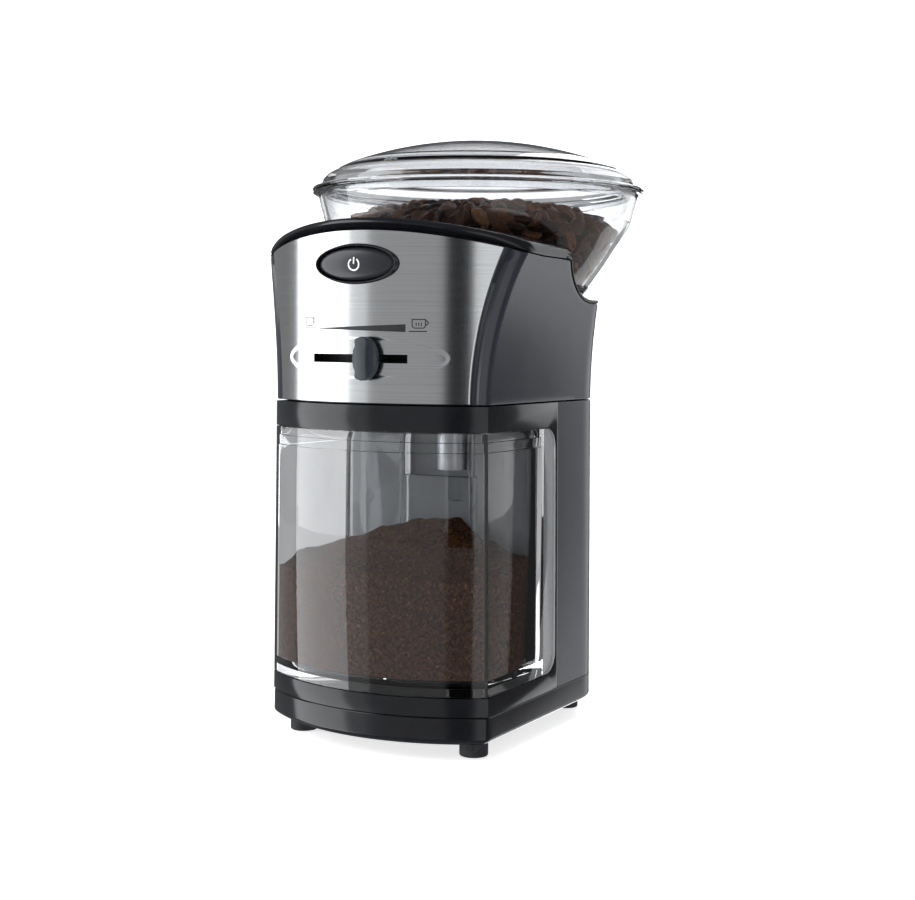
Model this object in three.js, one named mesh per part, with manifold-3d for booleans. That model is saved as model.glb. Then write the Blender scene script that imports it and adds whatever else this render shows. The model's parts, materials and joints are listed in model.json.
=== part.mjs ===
// Burr coffee grinder: a bean hopper over a flat-burr mill, driven by an upright motor in
// the rear column, with a clear ground-coffee container standing in front of the column.
// Millimetres, +Z up, front towards -Y. Y is measured from the middle of the flat sides
// while the pieces are built; the last group moves the origin under the middle of the box.

import * as THREE from 'three';
import { mergeVertices } from 'three/addons/utils/BufferGeometryUtils.js';
import Module from 'manifold-3d';

const wasm = await Module();
wasm.setup();

// ---- driving dimensions: body ------------------------------------------------------------
const GAP = 0.3;                  // between pieces that touch
const WALL = 2.6;                 // moulded shells
const HALF_WIDTH = 51.8;          // body, at the seam under the head
const FRONT_BULGE = 17.8;         // the bowed front stands this far ahead of its corners
const FRONT_CORNER_Y = -49.9;
const SIDE_END_Y = 42.7;          // where the flat sides turn into the round back
const BACK_DEPTH = 37;            // of the half-ellipse that makes the back
const SIDE_DRAFT = 0.0118;        // the sides widen downwards below the seam
const FLARE_FRONT = 11.0;         // the head widens upwards, more at the front corners
const FLARE_REAR = 6.2;
const FLARE_RISE = 60.6;          // height over which the flare reaches those values

const FOOT_HEIGHT = 6.8;
const FOOT_RADIUS = 6;
const BASE_TOP = 18.3;
const BAY_FLOOR = 26.2;           // container bay
const BAY_CEILING = 133.7;
const SEAM_Z = 144.6;
const SIDE_TOP = 205.4;           // top edge of the side panels
const SHELF_TOP = 187.8;          // rear shelf under the hopper
const SCOOP_START_Y = 5;          // the side panels sweep down from here to the shelf
const SCOOP_BEND_Y = 22;          // the sweep's control point stands over this place
const SCOOP_END_Y = 42;
const ARCH_CENTRE = 215.0;        // top of the faceplate, an arch across the front
const ARCH_RADIUS = 231;
const CROWN_CENTRE = 219.9;       // top of the cover over it
const CROWN_RADIUS = 205;
const CROWN_END_Y = 4.6;          // the crown stops here, just before the sweep
const HEAD_LIMIT = 226;

// ---- driving dimensions: inside ----------------------------------------------------------
const MILL_Y = 34.8;              // hopper, burrs and motor share this upright axis
const SPOUT_X = 9.4;
const SPOUT_Y = -4;
const SPOUT_RADIUS = 6.4;
const SPOUT_WALL = 1.2;
const COLUMN_FRONT_Y = 4.2;       // front wall of the column, behind the container
const COLUMN_NOSE_Y = 1.2;        // its middle stands forward round the motor
const COLUMN_NOSE_HALF = 15.5;
const COLUMN_HALF_WIDTH = 47.6;
const BAY_END_Y = 12.6;           // the container's side wings reach back to here
const FRAME_END_Y = 14.6;         // lower frame meets the rear cover

const SHAFT_RADIUS = 4;
const BURR_RADIUS = 30;
const CHAMBER_RADIUS = 39.5;
const CHAMBER_FLOOR = 136.5;
const STATOR_LOW = 60;
const STATOR_HIGH = 96;

// ---- driving dimensions: controls --------------------------------------------------------
const BUTTON_Z = 201.2;
const BUTTON_HALF = [19.5, 8.2];
const SLOT_Z = 163.1;
const SLOT_HALF = [22.6, 1.75];
const PLUNGER_X = -38;            // container interlock, in the column's front wall
const PLUNGER_Z = 100;
const KNOB_X = 6.1;               // where the quantity knob stands at rest
const KNOB_HALF = [6, 8.8];
const KNOB_CLEARANCE = 0.6;       // between the knob and the faceplate
const KNOB_DEPTH = 5.2;
const KNOB_GROOVE_X = 4.6;        // a finger groove this far to each side of its middle rib
const KNOB_GROOVE_HALF = 2.1;
const DIAL_Z = 172;
const DIAL_RADIUS = 13.6;
const RING_TEETH = 48;
const PINION_TEETH = 8;
const TOOTH_PITCH = 4.71;

// ---- colours -----------------------------------------------------------------------------
const FINISH = {
  black: { color: 0x15161a, roughness: 0.3, metalness: 0 },
  grey: { color: 0x50535c, roughness: 0.35, metalness: 0.1 },
  steel: { color: 0xb9bbbd, roughness: 0.32, metalness: 1 },
  clear: { color: 0xdfe5ea, roughness: 0.05, metalness: 0, transparent: true, opacity: 0.3 },
  knob: { color: 0x3d434b, roughness: 0.45, metalness: 0 },
  rubber: { color: 0x1b1b1c, roughness: 0.9, metalness: 0 },
  iron: { color: 0x77787a, roughness: 0.5, metalness: 1 },
  copper: { color: 0xb06a3a, roughness: 0.4, metalness: 1 },
  brass: { color: 0xb89a52, roughness: 0.35, metalness: 1 },
  board: { color: 0x2f5a3c, roughness: 0.6, metalness: 0 },
  natural: { color: 0xd8d4c8, roughness: 0.6, metalness: 0 },
  carbon: { color: 0x2b2b2d, roughness: 0.8, metalness: 0 },
};

// ---- solids from three.js geometry -------------------------------------------------------
function signedVolume(positions, indices) {
  const a = new THREE.Vector3();
  const b = new THREE.Vector3();
  const c = new THREE.Vector3();
  let sum = 0;
  for (let i = 0; i < indices.length; i += 3) {
    a.fromArray(positions, indices[i] * 3);
    b.fromArray(positions, indices[i + 1] * 3);
    c.fromArray(positions, indices[i + 2] * 3);
    sum += a.dot(b.cross(c));
  }
  return sum / 6;
}

function solid(geometry) {
  const bare = geometry.clone();
  bare.deleteAttribute('normal');
  bare.deleteAttribute('uv');
  const merged = mergeVertices(bare, 1e-4);
  const vertProperties = new Float32Array(merged.attributes.position.array);
  const triVerts = new Uint32Array(merged.index.array);
  if (signedVolume(vertProperties, triVerts) < 0) {
    for (let i = 0; i < triVerts.length; i += 3) {
      [triVerts[i + 1], triVerts[i + 2]] = [triVerts[i + 2], triVerts[i + 1]];
    }
  }
  return new wasm.Manifold(new wasm.Mesh({ numProp: 3, vertProperties, triVerts }));
}

function joined(...solids) {
  return solids.reduce((whole, next) => whole.add(next));
}

function cut(whole, ...tools) {
  return tools.reduce((rest, tool) => rest.subtract(tool), whole);
}

function block([x0, x1], [y0, y1], [z0, z1]) {
  const geometry = new THREE.BoxGeometry(x1 - x0, y1 - y0, z1 - z0);
  return solid(geometry.translate((x0 + x1) / 2, (y0 + y1) / 2, (z0 + z1) / 2));
}

// Extrudes a plan outline (X, Y) upwards from z0 to z1.
function upGeometry(shape, z0, z1, { steps = 1, curves = 8 } = {}) {
  const options = { depth: z1 - z0, steps, curveSegments: curves, bevelEnabled: false };
  return new THREE.ExtrudeGeometry(shape, options).translate(0, 0, z0);
}

// Extrudes a side outline (Y, Z) across from x0 to x1.
function across(shape, x0, x1, curves = 8) {
  const options = { depth: x1 - x0, curveSegments: curves, bevelEnabled: false };
  const turn = new THREE.Matrix4().makeBasis(
    new THREE.Vector3(0, 1, 0), new THREE.Vector3(0, 0, 1), new THREE.Vector3(1, 0, 0));
  return solid(new THREE.ExtrudeGeometry(shape, options).applyMatrix4(turn).translate(x0, 0, 0));
}

// Extrudes a front outline (X, Z) backwards from y0 to y1.
function back(shape, y0, y1, curves = 8) {
  const options = { depth: y1 - y0, curveSegments: curves, bevelEnabled: false };
  const turn = new THREE.Matrix4().makeBasis(
    new THREE.Vector3(1, 0, 0), new THREE.Vector3(0, 0, 1), new THREE.Vector3(0, -1, 0));
  return solid(new THREE.ExtrudeGeometry(shape, options).applyMatrix4(turn).translate(0, y1, 0));
}

// Turns a closed profile of [radius, z] points about an upright axis.
function turned(profile, segments, x = 0, y = MILL_Y) {
  const points = profile.map(([radius, z]) => new THREE.Vector2(radius, z));
  points.push(points[0].clone());
  const geometry = new THREE.LatheGeometry(points, segments);
  return solid(geometry.rotateX(Math.PI / 2).translate(x, y, 0));
}

function ring(inner, outer, z0, z1, segments = 32, x = 0, y = MILL_Y) {
  return turned([[inner, z0], [outer, z0], [outer, z1], [inner, z1]], segments, x, y);
}

function post(radius, z0, z1, segments = 24, x = 0, y = MILL_Y) {
  const geometry = new THREE.CylinderGeometry(radius, radius, z1 - z0, segments);
  return solid(geometry.rotateX(Math.PI / 2).translate(x, y, (z0 + z1) / 2));
}

function barAlongX(radius, x0, x1, y, z, segments = 24) {
  const geometry = new THREE.CylinderGeometry(radius, radius, x1 - x0, segments);
  return solid(geometry.rotateZ(Math.PI / 2).translate((x0 + x1) / 2, y, z));
}

function barAlongY(radius, y0, y1, x, z, segments = 24) {
  const geometry = new THREE.CylinderGeometry(radius, radius, y1 - y0, segments);
  return solid(geometry.translate(x, (y0 + y1) / 2, z));
}

function polygon(points) {
  return new THREE.Shape(points.map(([a, b]) => new THREE.Vector2(a, b)));
}

function oval(x, z, halfWidth, halfHeight) {
  return new THREE.Shape().absellipse(x, z, halfWidth, halfHeight, 0, Math.PI * 2, false, 0);
}

// ---- the body's outline and how it swells -----------------------------------------------
const FRONT_RADIUS = (HALF_WIDTH ** 2 + FRONT_BULGE ** 2) / (2 * FRONT_BULGE);
const FRONT_ARC_Y = FRONT_CORNER_Y - FRONT_BULGE + FRONT_RADIUS;
const FRONT_Y = FRONT_ARC_Y - FRONT_RADIUS;
const BACK_Y = SIDE_END_Y + BACK_DEPTH;
const BODY_CURVES = 7;

function bodyShape(inset = 0) {
  const halfWidth = HALF_WIDTH - inset;
  const frontRadius = FRONT_RADIUS - inset;
  const reach = Math.asin(halfWidth / frontRadius);
  const shape = new THREE.Shape();
  shape.absarc(0, FRONT_ARC_Y, frontRadius, -Math.PI / 2 - reach, -Math.PI / 2 + reach, false);
  shape.absellipse(0, SIDE_END_Y, halfWidth, BACK_DEPTH - inset, 0, Math.PI, false, 0);
  shape.closePath();
  return shape;
}

// A strip that follows the bowed front, between two insets from the body's outline.
function frontStrip(halfWidth, outerInset, innerInset) {
  const outer = FRONT_RADIUS - outerInset;
  const inner = FRONT_RADIUS - innerInset;
  const outerReach = Math.asin(halfWidth / outer);
  const innerReach = Math.asin(halfWidth / inner);
  const down = -Math.PI / 2;
  const shape = new THREE.Shape();
  shape.absarc(0, FRONT_ARC_Y, outer, down - outerReach, down + outerReach, false);
  shape.absarc(0, FRONT_ARC_Y, inner, down + innerReach, down - innerReach, true);
  shape.closePath();
  return shape;
}

function frontArcY(x) {
  return FRONT_ARC_Y - Math.sqrt(FRONT_RADIUS ** 2 - x ** 2);
}

// Above the seam the sides flare outwards while the front stays on its upright cylinder;
// below the seam the sides widen slightly.
function swell(geometry) {
  const position = geometry.attributes.position;
  const sideLength = SIDE_END_Y - FRONT_CORNER_Y;
  for (let i = 0; i < position.count; i += 1) {
    const x = position.getX(i);
    const y = position.getY(i);
    const rise = position.getZ(i) - SEAM_Z;
    if (rise > 0) {
      const rearward = THREE.MathUtils.clamp((y - FRONT_CORNER_Y) / sideLength, 0, 1);
      const flare = THREE.MathUtils.lerp(FLARE_FRONT, FLARE_REAR, rearward);
      const wide = x * (1 + flare * (rise / FLARE_RISE) ** 2 / HALF_WIDTH);
      position.setX(i, wide);
      position.setY(i, y + (frontArcY(wide) - frontArcY(x)) * (1 - rearward));
    } else {
      position.setX(i, x * (1 - SIDE_DRAFT * rise / HALF_WIDTH));
    }
  }
  return solid(geometry);
}

function bodySolid(inset, z0, z1, steps = 1) {
  return swell(upGeometry(bodyShape(inset), z0, z1, { steps, curves: BODY_CURVES }));
}

// Everything under the top edge of the side panels, raised by lift.
function underSideTop(lift) {
  const far = 130;
  const shape = new THREE.Shape();
  shape.moveTo(-far, 0);
  shape.lineTo(far, 0);
  shape.lineTo(far, SHELF_TOP + lift);
  shape.lineTo(SCOOP_END_Y, SHELF_TOP + lift);
  shape.quadraticCurveTo(
    SCOOP_BEND_Y + lift / 2, SHELF_TOP + lift, SCOOP_START_Y + lift * 0.7, SIDE_TOP + lift);
  shape.lineTo(-far, SIDE_TOP + lift);
  shape.closePath();
  return across(shape, -90, 90);
}

function underArch(top, radius) {
  const reach = Math.asin(80 / radius);
  const shape = new THREE.Shape();
  shape.moveTo(-80, 0);
  shape.lineTo(80, 0);
  shape.absarc(0, top - radius, radius, Math.PI / 2 - reach, Math.PI / 2 + reach, false);
  shape.closePath();
  return back(shape, -100, 130, 12);
}

const FRONT_ZONE = block([-90, 90], [-100, -30], [0, 300]);

function underHousingTop(lift) {
  const front = underArch(ARCH_CENTRE + lift, ARCH_RADIUS).intersect(FRONT_ZONE);
  return underSideTop(lift).add(front);
}

// ---- the parts list ----------------------------------------------------------------------
const grinder = new THREE.Group();
const machine = new THREE.Group();
grinder.add(machine);

function part(name, finish, body) {
  const { vertProperties, triVerts } = body.getMesh();
  const geometry = new THREE.BufferGeometry();
  geometry.setAttribute('position', new THREE.BufferAttribute(new Float32Array(vertProperties), 3));
  geometry.setIndex(new THREE.BufferAttribute(new Uint32Array(triVerts), 1));
  const mesh = new THREE.Mesh(geometry, new THREE.MeshStandardMaterial(FINISH[finish]));
  mesh.name = name;
  machine.add(mesh);
}

// ---- base, feet and lower body -----------------------------------------------------------
const FOOT_PLACES = {
  front_left: [-42.5, -42],
  front_right: [42.5, -42],
  rear_left: [-37.5, 56],
  rear_right: [37.5, 56],
};

function addBase() {
  const low = FOOT_HEIGHT;
  const edge = 2.8;
  const pan = upGeometry(bodyShape(0), low, BASE_TOP, { steps: 4, curves: BODY_CURVES });
  const position = pan.attributes.position;
  for (let i = 0; i < position.count; i += 1) {
    const depth = 1 - Math.min((position.getZ(i) - low) / edge, 1);
    const draw = 1 - edge * depth ** 2 / HALF_WIDTH;
    position.setX(i, position.getX(i) * draw);
    position.setY(i, position.getY(i) * draw);
  }
  const hollow = bodySolid(WALL, low + WALL, BASE_TOP + 1);
  const vents = [-2, -1, 0, 1, 2].map((step) =>
    block([-18, 18], [MILL_Y + step * 7 - 1.5, MILL_Y + step * 7 + 1.5], [0, low + WALL + 1]));
  const screwHoles = Object.values(FOOT_PLACES).map(([x, y]) => post(2, 0, low + 20, 12, x, y));
  part('base_pan', 'black', cut(swell(pan), hollow, ...vents, ...screwHoles));
  for (const [place, [x, y]] of Object.entries(FOOT_PLACES)) {
    const foot = cut(
      turned([
        [0, 0], [FOOT_RADIUS - 0.6, 0], [FOOT_RADIUS, 0.8],
        [FOOT_RADIUS, low - GAP], [0, low - GAP],
      ], 24, x, y),
      post(3.6, -1, 3, 16, x, y),
      post(2, 2, low + 1, 12, x, y));
    part(`foot_${place}`, 'rubber', foot);
    const screw = joined(post(3.2, 1, 2.7, 16, x, y), post(1.6, 2.6, low + 8, 10, x, y));
    part(`base_screw_${place}`, 'iron', screw);
  }
}

function baySolid() {
  const corner = 9;
  const top = BAY_CEILING;
  const shape = new THREE.Shape();
  shape.moveTo(-100, BAY_FLOOR);
  shape.lineTo(BAY_END_Y - corner, BAY_FLOOR);
  shape.absarc(BAY_END_Y - corner, BAY_FLOOR + corner, corner, -Math.PI / 2, 0, false);
  shape.absarc(BAY_END_Y - corner, top - corner, corner, 0, Math.PI / 2, false);
  shape.lineTo(-100, top);
  shape.closePath();
  const column = block([-COLUMN_HALF_WIDTH, COLUMN_HALF_WIDTH], [COLUMN_FRONT_Y, 50], [0, 300]);
  const nose = block([-COLUMN_NOSE_HALF, COLUMN_NOSE_HALF], [COLUMN_NOSE_Y, 50], [0, 300]);
  return cut(across(shape, -90, 90, 5), column, nose);
}

function addLowerFrame() {
  const low = BASE_TOP + GAP;
  const floorLow = BAY_FLOOR - WALL;
  const ceilingHigh = BAY_CEILING + WALL - 0.1;
  const recessLow = 110.6;
  const recessEnd = 8;
  const ahead = block([-90, 90], [-100, FRAME_END_Y], [0, 300]);
  const shell = bodySolid(0, low, SEAM_Z - GAP).intersect(ahead);
  const recessWall = block([-19.4, 19.4], [-50, recessEnd + WALL], [recessLow - WALL, 300]);
  const columnHollow = cut(
    joined(
      block([WALL - COLUMN_HALF_WIDTH, COLUMN_HALF_WIDTH - WALL],
        [COLUMN_FRONT_Y + WALL, 50], [0, 300]),
      block([WALL - COLUMN_NOSE_HALF, COLUMN_NOSE_HALF - WALL],
        [COLUMN_NOSE_Y + WALL, 50], [0, 300])),
    recessWall.intersect(block([-90, 90], [-90, 90], [0, ceilingHigh])));
  const underFloor = bodySolid(WALL, low - 2, floorLow);
  const overCeiling = bodySolid(WALL, ceilingHigh, SEAM_Z + 2);
  const recess = block([-16.8, 16.8], [-10, recessEnd], [recessLow, BAY_CEILING]);
  const spoutHole = post(SPOUT_RADIUS + GAP, 100, 200, 24, SPOUT_X, SPOUT_Y);
  const plungerHole = barAlongY(2.4, 0, 20, PLUNGER_X, PLUNGER_Z, 12);
  part('lower_frame', 'black',
    cut(shell, baySolid(), columnHollow, underFloor, overCeiling, recess, spoutHole, plungerHole));
}

function addRearCover() {
  const behind = block([-90, 90], [FRAME_END_Y + GAP, 130], [0, 300]);
  const shell = bodySolid(0, BASE_TOP + GAP, SEAM_Z - GAP).intersect(behind);
  const cordHole = barAlongY(6, 40, 90, 0, 32, 20);
  part('rear_cover', 'grey', cut(shell, bodySolid(WALL, 0, SEAM_Z), cordHole));
  const gland = joined(
    barAlongY(5.7, BACK_Y - 8, BACK_Y + 1, 0, 32, 20),
    barAlongY(8, BACK_Y + GAP, BACK_Y + 2.6, 0, 32, 20),
    barAlongY(8, BACK_Y - 6, BACK_Y - WALL - 0.9, 0, 32, 20));
  part('cord_gland', 'rubber', cut(gland, barAlongY(3.3, 0, 90, 0, 32, 16)));
}

// ---- head --------------------------------------------------------------------------------
const HEAD_LOW = SEAM_Z + GAP;
const HEAD_STEPS = 4;
const FACE_HALF_WIDTH = 46.4;
const FACE_THICKNESS = 1;

function controlOpenings(spare) {
  const button = back(oval(0, BUTTON_Z, BUTTON_HALF[0] + spare, BUTTON_HALF[1] + spare), -100, -50);
  const [halfWidth, halfHeight] = SLOT_HALF;
  const slot = block(
    [-halfWidth, halfWidth], [-100, -50], [SLOT_Z - halfHeight, SLOT_Z + halfHeight]);
  return button.add(slot);
}

function addHead() {
  const wall = 3.3;
  const shell = bodySolid(0, HEAD_LOW, HEAD_LIMIT, HEAD_STEPS).intersect(underHousingTop(0));
  const hollow = bodySolid(wall, HEAD_LOW - 2, HEAD_LIMIT + 1, HEAD_STEPS);
  const pocketShape = frontStrip(FACE_HALF_WIDTH + 0.4, -1, FACE_THICKNESS + GAP);
  const pocket = swell(
    upGeometry(pocketShape, HEAD_LOW - 2, HEAD_LIMIT + 1, { steps: HEAD_STEPS, curves: BODY_CURVES }));
  const dialBore = barAlongX(4.4, -90, -20, MILL_Y, DIAL_Z, 20);
  part('head_housing', 'grey', cut(shell, hollow, pocket, controlOpenings(1.2), dialBore));

  const sheetShape = frontStrip(FACE_HALF_WIDTH, 0, FACE_THICKNESS);
  const sheet = swell(
    upGeometry(sheetShape, HEAD_LOW + 0.4, HEAD_LIMIT, { steps: HEAD_STEPS, curves: BODY_CURVES }));
  const under = underArch(ARCH_CENTRE - GAP, ARCH_RADIUS);
  part('faceplate', 'steel', cut(sheet.intersect(under), controlOpenings(0)));
}

const BOWL = [
  [31.5, 189.9], [46.5, 192.2], [50.4, 194.2], [57.1, 203.4], [63.9, 214],
  [69.2, 222.1], [70.4, 226], [73.1, 236.2],
];

function addTopCover() {
  const plate = 1.6;
  const steps = 3;
  const low = 180;
  const shell = bodySolid(0, low, HEAD_LIMIT, steps)
    .intersect(underSideTop(plate).add(block([-90, 90], [-100, CROWN_END_Y], [0, 300])))
    .intersect(underArch(CROWN_CENTRE, CROWN_RADIUS));
  const hollow = bodySolid(WALL, low - 1, HEAD_LIMIT + 1, steps)
    .intersect(underArch(CROWN_CENTRE - WALL, CROWN_RADIUS))
    .intersect(block([-90, 90], [-100, CROWN_END_Y - WALL], [0, 300]));
  const bowlRoom = turned([
    [0, 150], [33.2, 150], [33.2, SHELF_TOP + plate + 0.1], [52.8, SHELF_TOP + plate + 0.1],
    [52.8, 195.4], [65.2, 214], [70.5, 222.1], [72, 240], [0, 240],
  ], 48);
  part('top_cover', 'black', cut(shell, hollow, underHousingTop(GAP), bowlRoom));
}

// ---- hopper and lid ----------------------------------------------------------------------
// The bowl and the funnel in its floor are two mouldings, and the collar carries both.
function addHopper() {
  const segments = 36;
  const thickness = 2.3;
  const inside = BOWL.slice(2).map(([radius, z]) => [radius - thickness, z + 0.9]).reverse();
  inside[0] = [BOWL.at(-1)[0] - thickness, 237.7];
  part('hopper', 'clear', turned([
    [40.3, 191.25], ...BOWL.slice(1),
    [73.2, 236.6], [75.4, 236.9], [75.4, 237.7],
    ...inside,
    [45.2, 194.6], [40.3, 193.86],
  ], segments));
  part('hopper_funnel', 'clear', turned([
    [25, 168], [25, 176], BOWL[0], [40, 191.2], [40, 193.82],
    [30.6, 192.4], [22.6, 176.6], [22.6, 168],
  ], segments));
  part('hopper_collar', 'black', turned([
    [34, 189.7], [45.6, 189.7], [49.4, 192], [51.6, 195.2], [50.9, 194.5],
    [50.6, 193.7], [46.6, 191.8], [34, 189.95],
  ], segments));
}

function addLid() {
  const dome = 172;
  const top = 260.8;
  const thickness = 2.2;
  const shell = [0, 20, 40, 58].map((radius) =>
    [radius, top - dome + Math.sqrt(dome ** 2 - radius ** 2)]);
  const outer = [...shell, [64.5, 247.6], [69, 245], [71.4, 242.5], [72, 239.8]];
  const inner = shell.map(([radius, z]) => [radius, z - thickness]);
  const profile = [
    ...outer, [75.5, 239.2], [75.7, 238.6], [75.4, 238],
    [69.7, 238], [69.7, 234.6], [67.6, 234.6], [67.6, 241.4], [63.4, 245.4],
    ...inner.reverse(),
  ];
  part('hopper_lid', 'clear', turned(profile, 36));
}

// ---- ground-coffee container -------------------------------------------------------------
function containerShape(inset, rearY) {
  const halfWidth = HALF_WIDTH - inset;
  const frontRadius = FRONT_RADIUS - inset;
  const reach = Math.asin(halfWidth / frontRadius);
  const shape = new THREE.Shape();
  shape.absarc(0, FRONT_ARC_Y, frontRadius, -Math.PI / 2 - reach, -Math.PI / 2 + reach, false);
  shape.lineTo(halfWidth, rearY);
  shape.lineTo(-halfWidth, rearY);
  shape.closePath();
  return shape;
}

function containerSolid(inset, rearY, z0, z1) {
  return swell(upGeometry(containerShape(inset, rearY), z0, z1, { curves: BODY_CURVES }));
}

function addContainer() {
  const low = BAY_FLOOR + GAP;
  const high = BAY_CEILING - GAP;
  const floor = 33;
  const wall = 2.7;
  const corner = 8.7;
  const wingEnd = BAY_END_Y - GAP;
  const rearOuter = COLUMN_FRONT_Y - 0.6;
  const noseOuter = COLUMN_NOSE_Y - 0.6;
  const side = new THREE.Shape();
  side.moveTo(-100, low);
  side.lineTo(wingEnd - corner, low);
  side.absarc(wingEnd - corner, low + corner, corner, -Math.PI / 2, 0, false);
  side.absarc(wingEnd - corner, high - corner, corner, 0, Math.PI / 2, false);
  side.lineTo(-100, high);
  side.closePath();
  const outside = containerSolid(0, 40, low, high).intersect(across(side, -90, 90, 5));
  const columnRoom = block(
    [-COLUMN_HALF_WIDTH - 0.6, COLUMN_HALF_WIDTH + 0.6], [rearOuter, 50], [0, 300]);
  const noseHalf = COLUMN_NOSE_HALF + 0.6;
  const noseRoom = block([-noseHalf, noseHalf], [noseOuter, 50], [0, 300]);
  const noseWall = block([-noseHalf - wall, noseHalf + wall], [noseOuter - wall, 50], [0, 300]);
  const inside = (inset, z0, z1) => cut(containerSolid(inset, rearOuter - inset, z0, z1), noseWall);
  const underneath = cut(containerSolid(wall, rearOuter - wall, 0, 30), noseWall);
  const notchHalf = 16.4;
  const notchLow = 111;
  const bandLow = 125.3;
  const rimLow = 129.4;
  const notch = block([-notchHalf, notchHalf], [-8, 20], [notchLow, 300]);
  part('container', 'clear', cut(outside, columnRoom, noseRoom, notch, underneath,
    inside(wall, floor, bandLow), inside(wall + 0.6, bandLow - 0.1, rimLow),
    inside(wall + 1.4, rimLow - 0.1, 140)));
}

// ---- mill --------------------------------------------------------------------------------
function addMill() {
  const floor = CHAMBER_FLOOR;
  const outer = CHAMBER_RADIUS + 2;
  const chuteTop = floor + 12;
  const chute = (spare, z0, z1) => block(
    [SPOUT_X - SPOUT_RADIUS - spare, SPOUT_X + SPOUT_RADIUS + spare],
    [SPOUT_Y - SPOUT_RADIUS - spare, SPOUT_Y + 12], [z0, z1]);
  const chamber = cut(
    joined(post(outer, floor, 162, 36), chute(2, floor, chuteTop + 2)),
    post(CHAMBER_RADIUS, floor + 2, 170, 36),
    chute(0, floor + 2, chuteTop),
    post(7, 0, 200, 20),
    post(SPOUT_RADIUS - SPOUT_WALL, 100, floor + 4, 20, SPOUT_X, SPOUT_Y));
  part('grinding_chamber', 'black', chamber);
  part('outlet_spout', 'steel',
    ring(SPOUT_RADIUS - SPOUT_WALL, SPOUT_RADIUS, 114.5, floor - GAP, 24, SPOUT_X, SPOUT_Y));
  part('chamber_cover', 'black', ring(33, outer, 162.3, 164.2, 32));
  part('shaft_seal', 'rubber', ring(SHAFT_RADIUS + 0.3, 6.7, floor, floor + 2, 20));

  const hub = ring(SHAFT_RADIUS + 0.3, 12, 139.4, 145.2, 24);
  const disc = ring(11.9, 31, 142.4, 145.2, 28);
  const paddles = [0, 1, 2, 3].map((quarter) => {
    const paddle = new THREE.BoxGeometry(9, 2.4, 5).translate(34.2, 0, 141.9);
    return solid(paddle.rotateZ(quarter * Math.PI / 2).translate(0, MILL_Y, 0));
  });
  part('impeller', 'natural', joined(hub, disc, ...paddles));

  const grooves = (z0, z1) => Array.from({ length: 8 }, (_, index) => {
    const groove = new THREE.BoxGeometry(16, 1.6, z1 - z0).translate(25, 0, (z0 + z1) / 2);
    return solid(groove.rotateZ(index * Math.PI / 4).translate(0, MILL_Y, 0));
  });
  const lower = turned([[10, 145.5], [BURR_RADIUS, 145.5], [BURR_RADIUS, 151.8], [19, 151.8], [10, 149]], 28);
  part('lower_burr', 'iron', cut(lower, ...grooves(151, 153)));
  const upper = turned([[24, 158.5], [19, 152.4], [BURR_RADIUS, 152.4], [BURR_RADIUS, 158.5]], 28);
  part('upper_burr', 'iron', cut(upper, ...grooves(151, 153.2)));
  part('burr_nut', 'brass', ring(SHAFT_RADIUS + 0.9, 7.8, 149.4, 153.4, 6));
}

function addFinenessDrive() {
  const pitchRadius = RING_TEETH * TOOTH_PITCH / (2 * Math.PI);
  const pinionRadius = PINION_TEETH * TOOTH_PITCH / (2 * Math.PI);
  const faceZ = DIAL_Z - pinionRadius;
  const sleeve = joined(
    ring(25.6, 32.6, 158.8, 166.2, 32),
    ring(27.4, pitchRadius + 2.2, 164.5, faceZ - 1.3, 32));
  const tooth = polygon([[-1.25, -1.6], [1.25, -1.6], [0.55, 0.9], [-0.55, 0.9]]);
  const toothGeometry = new THREE.ExtrudeGeometry(tooth, { depth: 4, bevelEnabled: false });
  const standUp = new THREE.Matrix4().makeBasis(
    new THREE.Vector3(0, 1, 0), new THREE.Vector3(0, 0, 1), new THREE.Vector3(1, 0, 0));
  toothGeometry.applyMatrix4(standUp).translate(pitchRadius - 2, 0, faceZ);
  const span = 6;
  const teeth = [];
  for (let index = -span; index <= span; index += 1) {
    const turn = Math.PI + index * 2 * Math.PI / RING_TEETH;
    teeth.push(solid(toothGeometry.clone().rotateZ(turn).translate(0, MILL_Y, 0)));
  }
  part('adjusting_ring', 'natural', joined(sleeve, ...teeth));

  // The pinion stands between two ring teeth, so one of its gaps faces straight down.
  const outline = [];
  for (let index = 0; index < PINION_TEETH; index += 1) {
    const middle = (index + 0.5) * 2 * Math.PI / PINION_TEETH - Math.PI / 2;
    const corners = [[-0.24, -1.9], [-0.1, 1.0], [0.1, 1.0], [0.24, -1.9]];
    for (const [turn, reach] of corners) {
      const radius = pinionRadius + reach;
      outline.push([radius * Math.cos(middle + turn), radius * Math.sin(middle + turn)]);
    }
  }
  const pinion = across(polygon(outline), -pitchRadius - 1.8, -pitchRadius + 1.8);
  const boss = barAlongX(3.9, -54, -pitchRadius - 1.7, 0, 0, 16);
  const dialPinion = joined(pinion, boss).translate([0, MILL_Y, DIAL_Z]);
  part('dial_pinion', 'natural', dialPinion);

  const gripOutline = [];
  const ribs = 18;
  for (let index = 0; index < ribs * 2; index += 1) {
    const radius = DIAL_RADIUS - (index % 2) * 0.8;
    const angle = index * Math.PI / ribs;
    gripOutline.push([radius * Math.cos(angle), radius * Math.sin(angle)]);
  }
  const grip = across(polygon(gripOutline), -64.5, -56.6).translate([0, MILL_Y, DIAL_Z]);
  const rim = barAlongX(DIAL_RADIUS + 1.4, -57.2, -56.2, MILL_Y, DIAL_Z, 32);
  part('fineness_dial', 'black', grip.add(rim));
}

// ---- motor -------------------------------------------------------------------------------
const BOLT_X = 26.4;

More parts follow.
